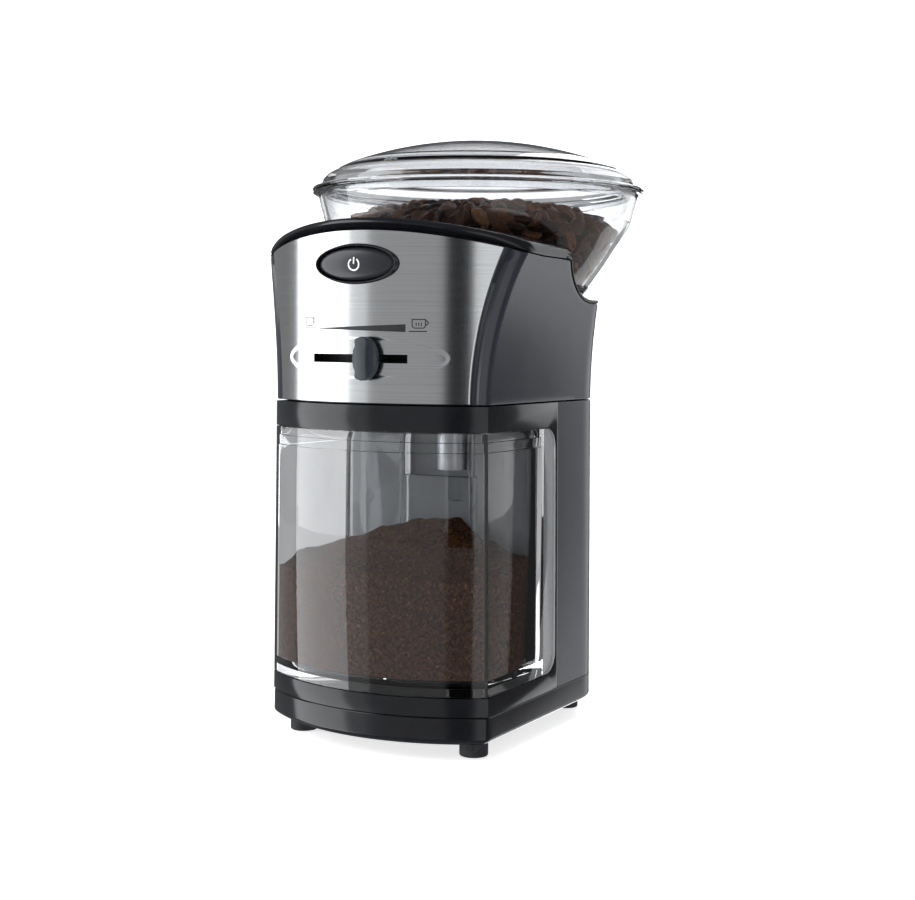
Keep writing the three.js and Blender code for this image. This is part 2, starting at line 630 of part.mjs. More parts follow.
function addMotor() {
  part('motor_shaft', 'iron', joined(
    post(SHAFT_RADIUS, 30, 152, 20),
    post(SHAFT_RADIUS - 0.6, 151.9, 156, 16)));
  part('rotor_core', 'iron', turned([
    [SHAFT_RADIUS + 0.3, 54], [12.5, 54], [13.5, STATOR_LOW], [16.2, STATOR_LOW],
    [16.2, STATOR_HIGH], [13.5, STATOR_HIGH], [12.5, 101.5], [SHAFT_RADIUS + 0.3, 101.5],
  ], 32));
  part('commutator', 'copper', ring(SHAFT_RADIUS + 0.3, 10.5, 103.5, 114.5, 24));

  const yoke = block([-30, 30], [MILL_Y - 24.6, MILL_Y + 24.6], [STATOR_LOW, STATOR_HIGH]);
  const slots = [-1, 1].flatMap((x) => [-1, 1].map((y) => block(
    [Math.min(x * 14, x * 23.8), Math.max(x * 14, x * 23.8)],
    [MILL_Y + Math.min(y * 12.6, y * 19.4), MILL_Y + Math.max(y * 12.6, y * 19.4)],
    [0, 200])));
  const boltHoles = [-1, 1].map((side) => post(2.3, 0, 200, 12, side * BOLT_X));
  part('stator_core', 'iron', cut(yoke, post(16.8, 0, 200, 36), ...slots, ...boltHoles));
  for (const [name, side] of [['left', -1], ['right', 1]]) {
    const [near, far] = [side * 17.4, side * 23.4].sort((a, b) => a - b);
    const coil = cut(
      block([near, far], [MILL_Y - 19, MILL_Y + 19], [STATOR_LOW - 7, STATOR_HIGH + 7]),
      block([-50, 50], [MILL_Y - 13, MILL_Y + 13], [STATOR_LOW - GAP, STATOR_HIGH + GAP]));
    part(`field_coil_${name}`, 'copper', coil);
    part(`motor_bolt_${name}`, 'iron', joined(
      post(1.9, 33, CHAMBER_FLOOR - GAP, 12, side * BOLT_X),
      post(3.4, 30.6, 33.1, 6, side * BOLT_X)));
    const brushZ = 109;
    const brushTop = 121.7;
    const [inner, outer] = [side * 13, side * 31].sort((a, b) => a - b);
    const bore = block([-60, 60], [MILL_Y - 2.8, MILL_Y + 2.8], [brushZ - 3.8, brushZ + 3.8]);
    const holder = block([inner, outer], [MILL_Y - 5, MILL_Y + 5], [brushZ - 6, brushTop]);
    part(`brush_holder_${name}`, 'natural', cut(holder, bore, ...boltHoles));
    const [tip, tail] = [side * 10.8, side * 22].sort((a, b) => a - b);
    part(`carbon_brush_${name}`, 'carbon',
      block([tip, tail], [MILL_Y - 2.5, MILL_Y + 2.5], [brushZ - 3.5, brushZ + 3.5]));
  }
  const bracket = (z0, z1) => cut(
    joined(
      block([-31, 31], [MILL_Y - 7, MILL_Y + 7], [z0, z1]),
      post(13, z0, z1, 32)),
    post(8.3, z0 - 1, z1 + 1, 32), ...boltHoles);
  part('upper_bracket', 'iron', bracket(122, 128));
  part('lower_bracket', 'iron', bracket(34, 40));
  part('upper_bearing', 'iron', ring(SHAFT_RADIUS + 0.3, 8, 121.5, 127.5, 32));
  part('lower_bearing', 'iron', ring(SHAFT_RADIUS + 0.3, 8, 34.5, 40, 32));

  const blades = Array.from({ length: 9 }, (_, index) => {
    const blade = new THREE.BoxGeometry(13.5, 1.4, 7).translate(17.5, 0, 46);
    return solid(blade.rotateZ(index * 2 * Math.PI / 9).translate(0, MILL_Y, 0));
  });
  part('cooling_fan', 'natural', joined(
    ring(SHAFT_RADIUS + 0.3, 11.5, 42, 51, 20), ring(11.4, 24, 42, 43.6, 24), ...blades));
}

// ---- controls ----------------------------------------------------------------------------
function domedOval(halfWidth, halfHeight, faceY, rise, backY) {
  const rings = 4;
  const dome = new THREE.SphereGeometry(1, 28, rings * 2);
  dome.rotateX(Math.PI / 2).scale(halfWidth, rise, halfHeight).translate(0, faceY, BUTTON_Z);
  const skirt = back(oval(0, BUTTON_Z, halfWidth, halfHeight), faceY, backY, 10);
  const front = block([-60, 60], [-100, faceY + 0.2], [0, 300]);
  return joined(solid(dome).intersect(front), skirt);
}

function addControls() {
  const [halfWidth, halfHeight] = BUTTON_HALF;
  part('start_button', 'black',
    domedOval(halfWidth - 1.4, halfHeight - 1.4, FRONT_Y + 1.3, 3.4, FRONT_Y + 9));
  const bezelHole = back(oval(0, BUTTON_Z, halfWidth - 1, halfHeight - 1), -100, -40);
  const bezel = back(
    oval(0, BUTTON_Z, halfWidth - 0.3, halfHeight - 0.3), FRONT_Y - 0.6, FRONT_Y + 6);
  part('button_bezel', 'black', cut(bezel, bezelHole));
  part('start_switch', 'black', joined(
    block([-7, 7], [FRONT_Y + 14.2, FRONT_Y + 22], [BUTTON_Z - 5, BUTTON_Z + 5]),
    barAlongY(2, FRONT_Y + 12, FRONT_Y + 14.3, 0, BUTTON_Z, 16)));

  const [knobHalfWidth, knobHalfHeight] = KNOB_HALF;
  const knobBack = FRONT_Y - KNOB_CLEARANCE;
  const knob = cut(
    back(oval(KNOB_X, SLOT_Z, knobHalfWidth, knobHalfHeight), knobBack - KNOB_DEPTH, knobBack),
    ...[-KNOB_GROOVE_X, KNOB_GROOVE_X].map((offset) => back(
      oval(KNOB_X + offset, SLOT_Z, KNOB_GROOVE_HALF, knobHalfHeight + 3),
      knobBack - 9, knobBack - 2.2)));
  const stem = block([KNOB_X - 3.2, KNOB_X + 3.2], [knobBack - 0.1, FRONT_Y + 11],
    [SLOT_Z - 1.3, SLOT_Z + 1.3]);
  part('quantity_knob', 'knob', knob.add(stem));
  part('slide_potentiometer', 'black', cut(
    block([-28, 28], [FRONT_Y + 9, FRONT_Y + 15], [SLOT_Z - 5, SLOT_Z + 5]),
    block([-25, 25], [FRONT_Y, FRONT_Y + 11.4], [SLOT_Z - 1.7, SLOT_Z + 1.7])));
  part('control_board', 'board',
    block([-34, 34], [FRONT_Y + 22.3, FRONT_Y + 23.9], [149, 207])
      .add(block([-4, 4], [FRONT_Y + 15.3, FRONT_Y + 22.4], [SLOT_Z - 4, SLOT_Z + 4])));

  part('interlock_plunger', 'natural', joined(
    barAlongY(2.1, COLUMN_FRONT_Y - 0.3, 12, PLUNGER_X, PLUNGER_Z, 12),
    barAlongY(4, 9.2, 10.6, PLUNGER_X, PLUNGER_Z, 16)));
  part('interlock_switch', 'black', block(
    [PLUNGER_X - 5, PLUNGER_X + 5], [14.4, 22], [PLUNGER_Z - 6, PLUNGER_Z + 6]));
}

addBase();
addLowerFrame();
addRearCover();
addHead();
addTopCover();
addHopper();
addLid();
addContainer();
addMill();
addFinenessDrive();
addMotor();
addControls();

// The whole box runs from the knob's face to the back of the hopper's rim.
const HOPPER_BACK_Y = MILL_Y + 75.7;
const KNOB_FACE_Y = FRONT_Y - KNOB_CLEARANCE - KNOB_DEPTH;
machine.position.y = -(HOPPER_BACK_Y + KNOB_FACE_Y) / 2;

export default grinder;
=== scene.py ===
import json
import math

import bmesh
import bpy
from mathutils import Matrix, Vector, noise


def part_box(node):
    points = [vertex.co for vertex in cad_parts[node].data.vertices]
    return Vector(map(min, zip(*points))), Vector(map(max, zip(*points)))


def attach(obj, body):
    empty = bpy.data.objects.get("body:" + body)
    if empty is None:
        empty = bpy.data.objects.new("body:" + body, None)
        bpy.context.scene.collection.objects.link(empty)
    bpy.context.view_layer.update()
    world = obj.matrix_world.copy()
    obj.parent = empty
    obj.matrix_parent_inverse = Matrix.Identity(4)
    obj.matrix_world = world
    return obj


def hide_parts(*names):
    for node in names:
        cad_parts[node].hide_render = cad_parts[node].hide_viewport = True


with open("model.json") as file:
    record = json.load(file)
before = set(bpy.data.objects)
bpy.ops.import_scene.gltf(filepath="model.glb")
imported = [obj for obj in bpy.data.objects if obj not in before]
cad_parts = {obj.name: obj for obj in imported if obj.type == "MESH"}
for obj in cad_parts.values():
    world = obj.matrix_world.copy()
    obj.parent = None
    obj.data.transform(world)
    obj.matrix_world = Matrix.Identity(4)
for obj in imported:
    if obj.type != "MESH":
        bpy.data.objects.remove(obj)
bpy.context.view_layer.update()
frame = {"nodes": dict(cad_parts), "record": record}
nodes = frame["nodes"]

# ---- camera ----
# A camera at eye level, to the right of the front, looking slightly down.
CAMERA_PLACE = (0.3443, -0.6134, 0.1710)
CAMERA_YAW = 0.5121
CAMERA_PITCH = 0.071
CAMERA_ROLL = 0.0091
CAMERA_LENS = 60.95


def new_object(name, data):
    thing = bpy.data.objects.new(name, data)
    bpy.context.scene.collection.objects.link(thing)
    return thing


ahead = Vector((-math.sin(CAMERA_YAW) * math.cos(CAMERA_PITCH),
                math.cos(CAMERA_YAW) * math.cos(CAMERA_PITCH), -math.sin(CAMERA_PITCH)))
level_right = Vector((math.cos(CAMERA_YAW), math.sin(CAMERA_YAW), 0))
level_up = level_right.cross(ahead)
camera_right = level_right * math.cos(CAMERA_ROLL) + level_up * math.sin(CAMERA_ROLL)
camera_up = level_up * math.cos(CAMERA_ROLL) - level_right * math.sin(CAMERA_ROLL)
camera = new_object("camera", bpy.data.cameras.new("camera"))
camera.data.lens = CAMERA_LENS
camera.data.sensor_fit = "HORIZONTAL"
turn = Matrix((camera_right, camera_up, -ahead)).transposed()
camera.matrix_world = Matrix.Translation(CAMERA_PLACE) @ turn.to_4x4()
bpy.context.scene.camera = camera
bpy.context.scene.view_settings.view_transform = "Standard"


# ---- studio: floor, sweep and lights ----
# A pale floor with a white sweep round it. Tall soft boxes and dark cards stand out of the
# picture, where the curved steel and the gloss plastic mirror them as upright bands.
def plain_material(name, color, roughness=0.6, glow=0.0):
    material = bpy.data.materials.new(name)
    material.use_nodes = True
    shader = material.node_tree.nodes["Principled BSDF"]
    shader.inputs["Base Color"].default_value = (*color, 1)
    shader.inputs["Roughness"].default_value = roughness
    shader.inputs["Emission Color"].default_value = (*color, 1)
    shader.inputs["Emission Strength"].default_value = glow
    return material


def plain_mesh(name, points, faces=()):
    mesh = bpy.data.meshes.new(name)
    mesh.from_pydata(points, [], faces)
    return mesh


def stage_mesh(name, points, faces, material, *ways):
    """A surface of the studio that only those kinds of ray can see."""
    mesh = plain_mesh(name, points, faces)
    mesh.materials.append(material)
    thing = new_object(name, mesh)
    for way in ("camera", "diffuse", "glossy", "transmission", "shadow"):
        setattr(thing, "visible_" + way, way in ways)


FLOOR_HALF = 4.0
FLOOR_DROP = 0.0003  # of each floor under the one before it
PAPER = 0.92
for name, half, layer, shade, glow, ways in (
        ("floor", 1.0, 1, PAPER, 0.80, ("camera", "diffuse", "shadow")),
        ("floor_far", FLOOR_HALF, 2, PAPER, 1.1, ("camera", "diffuse", "shadow")),
        ("floor_through_plastic", FLOOR_HALF, 3, 0.0, 0.5, ("transmission", "shadow"))):
    corners = [(x * half, y * half, -layer * FLOOR_DROP) for x, y in ((-1, -1), (1, -1), (1, 1), (-1, 1))]
    paper = plain_material(name + "_paper", (shade, shade, shade), glow=glow)
    shader = paper.node_tree.nodes["Principled BSDF"]
    shader.inputs["Emission Color"].default_value = (PAPER, PAPER, PAPER, 1)
    stage_mesh(name, corners, [(0, 1, 2, 3)], paper, *ways)

SWEEP_RADIUS = 3.6
SWEEP_RISE = (-0.2, 4.0)
SWEEP_SIDES = 48
sweep_points = []
for side in range(SWEEP_SIDES):
    angle = side * math.tau / SWEEP_SIDES
    for height in SWEEP_RISE:
        sweep_points.append((SWEEP_RADIUS * math.cos(angle), SWEEP_RADIUS * math.sin(angle), height))
sweep_faces = [(2 * i, 2 * ((i + 1) % SWEEP_SIDES), 2 * ((i + 1) % SWEEP_SIDES) + 1, 2 * i + 1)
               for i in range(SWEEP_SIDES)]
for name, glow, way in (("sweep", 1.0, "camera"), ("sweep_through_plastic", 0.85, "transmission")):
    paper = plain_material(name + "_paper", (1, 1, 1), glow=glow)
    stage_mesh(name, sweep_points, sweep_faces, paper, way)

CARD_DISTANCE = 1.3
CARD_LOW = -1.2
CARD_HEIGHT = 3.0
CARD_TINT = (0.97, 0.985, 1.0, 1)
LAST_THROUGH_PLASTIC = 120  # azimuth of the last card that the clear plastic shows


def upright_card(name, azimuth, width, glow):
    """A flat card facing the object; azimuth is in degrees, 0 in front (-Y) and 90 at +X."""
    angle = math.radians(azimuth)
    out = Vector((math.sin(angle), -math.cos(angle), 0))
    across = Vector((math.cos(angle), math.sin(angle), 0)) * width / 2
    foot = out * CARD_DISTANCE + Vector((0, 0, CARD_LOW))
    rise = Vector((0, 0, CARD_HEIGHT))
    points = [foot - across, foot + across, foot + across + rise, foot - across + rise]
    material = plain_material(name, (0, 0, 0), 1.0, glow)
    shader = material.node_tree.nodes["Principled BSDF"]
    shader.inputs["Emission Color"].default_value = CARD_TINT
    shader.inputs["Specular IOR Level"].default_value = 0.0
    ways = ["diffuse", "glossy"] + ["transmission"] * (azimuth < LAST_THROUGH_PLASTIC)
    stage_mesh(name, [tuple(p) for p in points], [(0, 1, 2, 3)], material, *ways)


for name, azimuth, half_angle, glow in (  # azimuth and half width in degrees
        ("grey_card_left", -103, 22, 0.25), ("soft_box_left", -57.5, 20.5, 3.2),
        ("soft_box_edge", -30, 7, 0.95), ("grey_card_front", -1, 23, 0.42),
        ("black_card", 30.8, 6.75, 0.02), ("soft_box_right", 51.5, 13, 1.0),
        ("dark_card_right", 90, 24, 0.10), ("dark_card_side", 133, 19, 0.12),
        ("soft_box_back", 164.5, 11.5, 1.1), ("strip_light_back", 195, 5, 3.0)):
    upright_card(name, azimuth, 2 * CARD_DISTANCE * math.tan(math.radians(half_angle)), glow)


def area_light(name, place, target, size, power):
    light = bpy.data.lights.new(name, "AREA")
    light.shape = "RECTANGLE"
    light.size, light.size_y = size
    light.energy = power
    lamp = new_object(name, light)
    lamp.location = place
    lamp.rotation_euler = (Vector(target) - Vector(place)).to_track_quat("-Z", "Y").to_euler()
    lamp.visible_glossy = False
    lamp.visible_transmission = False


area_light("key_light", (-0.75, -0.95, 0.95), (0, 0, 0.12), (0.7, 0.9), 9)
area_light("top_light", (0.05, 0.1, 1.35), (0, 0, 0.1), (1.2, 1.2), 6)
area_light("right_light", (1.1, 0.2, 0.6), (0, 0, 0.12), (0.6, 1.0), 1.5)
area_light("back_light", (0.2, 1.2, 0.8), (0, 0, 0.12), (1.0, 0.8), 4)

world = bpy.data.worlds.new("studio_air")
world.use_nodes = True
world.node_tree.nodes["Background"].inputs["Color"].default_value = (0.12, 0.125, 0.135, 1)
bpy.context.scene.world = world

# ---- base pan ----
# The bottom moulding: a shallow pan of black gloss ABS that carries the feet and breathes
# through five slots. Its outline, a bowed front and a round back, is the whole body's.
MM = 0.001
HALF_WIDTH = 51.8  # of the body at the seam under the head
FRONT_RADIUS = 84.27  # of the bowed front, whose axis stands upright
BACK_DEPTH = 37.0  # of the half-ellipse at the back
SIDE_DRAFT = 0.0118
FLARE_FRONT = 11.0
FLARE_REAR = 6.2
FLARE_RISE = 60.6
CORNER_SOFT = 1.5  # rounding of the two front corners
WALL = 2.6
MILL_Y = 16.3  # upright axis of hopper, burrs and motor

FRONT_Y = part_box("faceplate")[0].y / MM
BACK_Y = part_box("rear_cover")[1].y / MM
SEAM_Z = (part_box("head_housing")[0].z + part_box("rear_cover")[1].z) / 2 / MM
ARC_Y = FRONT_Y + FRONT_RADIUS
CORNER_Y = ARC_Y - math.sqrt(FRONT_RADIUS ** 2 - HALF_WIDTH ** 2)
SIDE_END_Y = BACK_Y - BACK_DEPTH


def front_y(x, inset=0.0):
    return ARC_Y - math.sqrt((FRONT_RADIUS - inset) ** 2 - x ** 2)


def widened(x, z, flare=FLARE_FRONT):
    """Where the flare carries a point of the straight side, at a height over the seam."""
    return x * (1 + flare * (max(z - SEAM_Z, 0) / FLARE_RISE) ** 2 / HALF_WIDTH)


def swell(x, y, z):
    """Moves a point of the straight-walled outline to the flared and drafted body."""
    if z <= SEAM_Z:
        return x * (1 - SIDE_DRAFT * (z - SEAM_Z) / HALF_WIDTH), y, z
    rearward = min(max((y - CORNER_Y) / (SIDE_END_Y - CORNER_Y), 0), 1)
    wide = widened(x, z, FLARE_FRONT + (FLARE_REAR - FLARE_FRONT) * rearward)
    return wide, y + (front_y(wide) - front_y(x)) * (1 - rearward), z


def spread(first, last, count):
    return [first + (last - first) * i / (count - 1) for i in range(count)]


def outline(inset, arc_count=47, side_count=34, back_count=61):
    """The body's plan, anticlockwise from the left front corner, at one inset."""
    half = HALF_WIDTH - inset
    radius = FRONT_RADIUS - inset
    reach = math.asin(half / radius)
    trim = CORNER_SOFT / radius
    arc = [(radius * math.sin(a), ARC_Y - radius * math.cos(a))
           for a in spread(trim - reach, reach - trim, arc_count)]
    corner_y = ARC_Y - radius * math.cos(reach)
    start, tip, stop = arc[-1], (half, corner_y), (half, corner_y + CORNER_SOFT)
    bend = []
    for t in (0.2, 0.4, 0.6, 0.8):
        bend.append(tuple((1 - t) ** 2 * a + 2 * t * (1 - t) * b + t ** 2 * c
                          for a, b, c in zip(start, tip, stop)))
    side = [(half, y) for y in spread(corner_y + CORNER_SOFT, SIDE_END_Y, side_count)]
    back = [(half * math.cos(a), SIDE_END_Y + (BACK_DEPTH - inset) * math.sin(a))
            for a in spread(0, math.pi, back_count)[1:-1]]
    return arc + bend + side + back + mirrored(side) + mirrored(bend)


def mirrored(points):
    return [(-x, y) for x, y in reversed(points)]


def soft(profile, radius):
    """A closed profile with its corners rounded by short curves."""
    rounded = []
    for i, corner in enumerate(profile):
        corner = Vector(corner)
        before = Vector(profile[i - 1]) - corner
        after = Vector(profile[(i + 1) % len(profile)]) - corner
        trim = min(radius, 0.45 * before.length, 0.45 * after.length)
        start = corner + before.normalized() * trim
        stop = corner + after.normalized() * trim
        for t in (0, 0.33, 0.67, 1):
            point = start * (1 - t) ** 2 + corner * 2 * t * (1 - t) + stop * t ** 2
            rounded.append((point.x, point.y))
    return rounded


def make_object(name, mesh, angle=32):
    mesh.shade_smooth()
    mesh.set_sharp_from_angle(angle=math.radians(angle))
    return new_object(name, mesh)


def face_outward(mesh, merge=0.0):
    """Turns all faces outward, after joining the points that are nearer than merge."""
    shape = bmesh.new()
    shape.from_mesh(mesh)
    if merge:
        bmesh.ops.remove_doubles(shape, verts=shape.verts, dist=merge)
    bmesh.ops.recalc_face_normals(shape, faces=shape.faces)
    shape.to_mesh(mesh)
    shape.free()


def skin(name, rings, around=True, along=False, angle=32):
    """A closed body through rings of points in mm. around closes each ring, along joins the
    last ring to the first; what stays open is capped with a flat face."""
    count = len(rings[0])
    points = [tuple(c * MM for c in p) for ring in rings for p in ring]
    faces = []
    for i in range(len(rings) if along else len(rings) - 1):
        near, far = i * count, (i + 1) % len(rings) * count
        for j in range(count if around else count - 1):
            k = (j + 1) % count
            faces.append((near + j, near + k, far + k, far + j))
    if not along:
        faces.append(tuple(range(count)))
        faces.append(tuple(range((len(rings) - 1) * count, len(rings) * count)))
    if not around:
        faces.append(tuple(i * count for i in range(len(rings))))
        faces.append(tuple(i * count + count - 1 for i in range(len(rings))))
    mesh = plain_mesh(name, points, faces)
    face_outward(mesh)
    return make_object(name, mesh, angle)


def freeze(thing, name, angle=32):
    """Replaces an object by the plain mesh that its modifiers make."""
    bpy.context.view_layer.update()
    graph = bpy.context.evaluated_depsgraph_get()
    mesh = bpy.data.meshes.new_from_object(thing.evaluated_get(graph))
    mesh.name = name
    bpy.data.objects.remove(thing)
    return make_object(name, mesh, angle)


def carve(thing, cutters, angle=32):
    name = thing.name
    thing.name = name + "_rough"
    for cutter in cutters:
        modifier = thing.modifiers.new("carve", "BOOLEAN")
        modifier.operation = "DIFFERENCE"
        modifier.solver = "EXACT"
        modifier.object = cutter
    result = freeze(thing, name, angle)
    for cutter in cutters:
        bpy.data.objects.remove(cutter)
    return result


def prism(outline_points, low, high, axis):
    """A cutter: a closed outline pushed along an axis, its points the other two coordinates."""
    at = "XYZ".index(axis)
    rings = [[(*p[:at], depth, *p[at:]) for p in outline_points] for depth in (low, high)]
    return skin("cutter", rings)


def rectangle(a0, a1, b0, b1):
    return [(a0, b0), (a1, b0), (a1, b1), (a0, b1)]


def ellipse(a, b, half_a, half_b, count=64):
    turns = [t * math.tau / count for t in range(count)]
    return [(a + half_a * math.cos(turn), b + half_b * math.sin(turn)) for turn in turns]


def add_finish(thing, material):
    thing.data.materials.clear()
    thing.data.materials.append(material)


def add_piece(thing, body, slot, material, *replaced):
    if material:
        add_finish(thing, material)
    if replaced:
        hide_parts(*replaced)
    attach(thing, body)
    return thing


def node(tree, kind, links=(), **settings):
    """Adds a node. A link comes from a socket, a node's first output or a plain value."""
    made = tree.nodes.new(kind)
    for key, value in settings.items():
        setattr(made, key, value)
    for label, source in links:
        socket = next(s for s in made.inputs if s.enabled and s.name == label)
        if isinstance(source, bpy.types.Node):
            source = next(s for s in source.outputs if s.enabled)
        if isinstance(source, bpy.types.NodeSocket):
            tree.links.new(source, socket)
        else:
            socket.default_value = source
    return made


class Finish:
    """A procedural finish: a Principled shader fed by textures on Object coordinates."""

    def __init__(self, name, **sockets):
        self.material = bpy.data.materials.new(name)
        self.material.use_nodes = True
        self.tree = self.material.node_tree
        self.shader = self.tree.nodes["Principled BSDF"]
        self.place = self.tree.nodes.new("ShaderNodeTexCoord").outputs["Object"]
        self.normal = None
        for socket, value in sockets.items():
            self.shader.inputs[socket.replace("_", " ")].default_value = value

    def noise(self, scale, detail=4.0, roughness=0.55, stretch=None):
        texture = node(self.tree, "ShaderNodeTexNoise", [
            ("Scale", scale), ("Detail", detail), ("Roughness", roughness), ("Vector", self.place)])
        if stretch:
            mapping = node(self.tree, "ShaderNodeMapping", [("Scale", stretch), ("Vector", self.place)])
            self.tree.links.new(mapping.outputs["Vector"], texture.inputs["Vector"])
        return texture.outputs["Fac"]

    def cells(self, scale, output="Distance"):
        texture = node(self.tree, "ShaderNodeTexVoronoi", [("Scale", scale), ("Vector", self.place)])
        return texture.outputs[output]

    def ramp(self, source, stops):
        """stops are (position, value or color)."""
        ramp = self.tree.nodes.new("ShaderNodeValToRGB")
        while len(ramp.color_ramp.elements) < len(stops):
            ramp.color_ramp.elements.new(0.5)
        for element, (position, color) in zip(ramp.color_ramp.elements, stops):
            element.position = position
            color = (color,) * 3 if isinstance(color, (int, float)) else color
            element.color = (*color, 1)
        self.tree.links.new(source, ramp.inputs["Fac"])
        return ramp.outputs["Color"]

    def drive(self, socket, source):
        self.tree.links.new(source, self.shader.inputs[socket])

    def vary(self, socket, scale, detail, low, high, low_at=0.3, high_at=0.7):
        """Clouds a socket between two values or colors."""
        self.drive(socket, self.ramp(self.noise(scale, detail), [(low_at, low), (high_at, high)]))

    def bump(self, source, height, strength=1.0):
        """Stacks a bump of that height in mm on the ones before it."""
        links = [("Strength", strength), ("Distance", height * MM), ("Height", source)]
        if self.normal:
            links.append(("Normal", self.normal))
        self.normal = node(self.tree, "ShaderNodeBump", links).outputs["Normal"]
        self.drive("Normal", self.normal)


def clouded(name, color, rough, **sockets):
    """A finish with uneven color and sheen, each given as vary() wants it."""
    finish = Finish(name, **sockets)
    finish.vary("Base Color", *color)
    finish.vary("Roughness", *rough)
    return finish


def moulded(name, dark, light, smooth, rough, grain=0.004, specular=0.45):
    """Moulded plastic: slight cloudiness, an uneven sheen and a very fine grain."""
    finish = clouded(name, (55, 3, dark, light), (40, 3, smooth, rough, 0.3, 0.72),
                     Specular_IOR_Level=specular)
    finish.bump(finish.noise(2600, 2), grain, 0.5)
    return finish.material


black_gloss = moulded("black_gloss_abs", (0.006, 0.0065, 0.008), (0.010, 0.0105, 0.013), 0.13, 0.16,
                      specular=0.4)

pan_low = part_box("base_pan")[0].z / MM
pan_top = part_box("base_pan")[1].z / MM
PAN_ROUND = 2.8
PAN_STEPS = 7
GROOVE = 0.45  # half of the V-groove between two mouldings
pan_floor = pan_low + WALL
pan_profile = [(WALL, pan_floor), (WALL, pan_top), (GROOVE, pan_top), (0.08, pan_top - GROOVE)]
for depth in spread(0, 1, PAN_STEPS):
    pan_profile.append((PAN_ROUND * depth ** 2, pan_low + PAN_ROUND * (1 - depth)))
pan_rings = [[swell(x, y, z) for x, y in outline(inset)] for inset, z in pan_profile]
VENT_PITCH = 7.0
VENT_HALF = (18.0, 1.5)
SCREW_HOLE = 2
pan_cut = (pan_low - 1, pan_floor + 1)
feet = ["foot_front_left", "foot_front_right", "foot_rear_left", "foot_rear_right"]
foot_places = [(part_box(foot)[0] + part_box(foot)[1]) / 2 / MM for foot in feet]
cutters = []
for step in range(-2, 3):
    y = MILL_Y + step * VENT_PITCH
    vent = rectangle(-VENT_HALF[0], VENT_HALF[0], y - VENT_HALF[1], y + VENT_HALF[1])
    cutters.append(prism(vent, *pan_cut, "Z"))
for place in foot_places:
    cutters.append(prism(ellipse(place.x, place.y, SCREW_HOLE, SCREW_HOLE, 24), *pan_cut, "Z"))
pan = carve(skin("base_pan_shell", pan_rings), cutters)
add_piece(pan, "housing", "black_gloss", black_gloss, "base_pan")

# ---- feet and their screws ----
# Four turned-looking feet of black rubber, each held by a zinc-plated screw in its recess.
rubber_finish = Finish("foot_rubber_grain", Roughness=0.8)
rubber_finish.vary("Base Color", 300, 4, (0.016, 0.017, 0.019), (0.032, 0.033, 0.036), 0.35)
rubber_finish.bump(rubber_finish.noise(1800, 3), 0.02, 0.7)
rubber = rubber_finish.material


def lathe(name, profile, x=0.0, y=MILL_Y, count=96, angle=32):
    """Turns a closed profile of (radius, z) about an upright axis."""
    rings = []
    for step in range(count):
        turn = step * math.tau / count
        rings.append([(x + r * math.cos(turn), y + r * math.sin(turn), z) for r, z in profile])
    thing = skin(name, rings, along=True, angle=angle)
    face_outward(thing.data, 1e-6)
    return thing


foot_top = pan_low - 0.1
FOOT_RADIUS = 6.0
FOOT_RECESS = 3.6
RECESS_TOP = 3
foot_profile = [(FOOT_RECESS, 0), (FOOT_RADIUS, 0), (FOOT_RADIUS, foot_top), (SCREW_HOLE, foot_top),
                (SCREW_HOLE, RECESS_TOP), (FOOT_RECESS, RECESS_TOP)]
for foot, place in zip(feet, foot_places):
    pad = lathe(foot + "_pad", soft(foot_profile, 0.7), place.x, place.y, 48)
    add_piece(pad, "housing", "foot_rubber", rubber, foot)

zinc = clouded("zinc_plate", (900, 3, (0.42, 0.42, 0.41), (0.6, 0.6, 0.58)), (500, 3, 0.3, 0.5),
               Metallic=1.0).material


def new_tree(name, inputs):
    """A geometry node tree with the named inputs and one geometry output."""
    tree = bpy.data.node_groups.new(name, "GeometryNodeTree")
    tree.interface.new_socket("Geometry", in_out="INPUT", socket_type="NodeSocketGeometry")
    for label, kind in inputs:
        tree.interface.new_socket(label, in_out="INPUT", socket_type=kind)
    tree.interface.new_socket("Geometry", in_out="OUTPUT", socket_type="NodeSocketGeometry")
    return tree, tree.nodes.new("NodeGroupInput"), tree.nodes.new("NodeGroupOutput")


def coat(tree, geometry, material, result):
    """Ends a tree: sets the material and gives the geometry out."""
    coated = node(tree, "GeometryNodeSetMaterial", [("Geometry", geometry), ("Material", material)])
    tree.links.new(coated.outputs["Geometry"], result.inputs["Geometry"])


def grow(thing, tree, values, name):
    """Runs a node tree on an object and keeps the plain mesh."""
    modifier = thing.modifiers.new("grow", "NODES")
    modifier.node_group = tree
    for item in tree.interface.items_tree:
        if item.in_out == "INPUT" and item.name in values:
            modifier[item.identifier] = values[item.name]
    return freeze(thing, name)


SCREW_HEAD = (3.2, 1.7)  # radius and height
CROSS_HALF = (2, 0.35)
CROSS_DEPTH = 0.9
screw_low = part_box("base_screw_front_left")[0].z / MM
head_profile = [(0.01, 0), (SCREW_HEAD[0], 0), SCREW_HEAD, (0.01, SCREW_HEAD[1])]
head = lathe("screw_pattern", soft(head_profile, 0.4), 0, 0, 24)
head = carve(head, [prism(rectangle(-a, a, -b, b), -1, CROSS_DEPTH, "Z")
                    for a, b in (CROSS_HALF, CROSS_HALF[::-1])])
spots = [(p.x * MM, p.y * MM, screw_low * MM) for p in foot_places]
holder = new_object("screw_spots", plain_mesh("screw_spots", spots))
tree, given, result = new_tree("base_screws", [("Screw", "NodeSocketObject"),
                                               ("Plating", "NodeSocketMaterial")])
info = node(tree, "GeometryNodeObjectInfo", [("Object", given.outputs["Screw"]), ("As Instance", True)])
placed = node(tree, "GeometryNodeInstanceOnPoints", [("Points", given),
                                                     ("Instance", info.outputs["Geometry"])])
real = node(tree, "GeometryNodeRealizeInstances", [("Geometry", placed)])
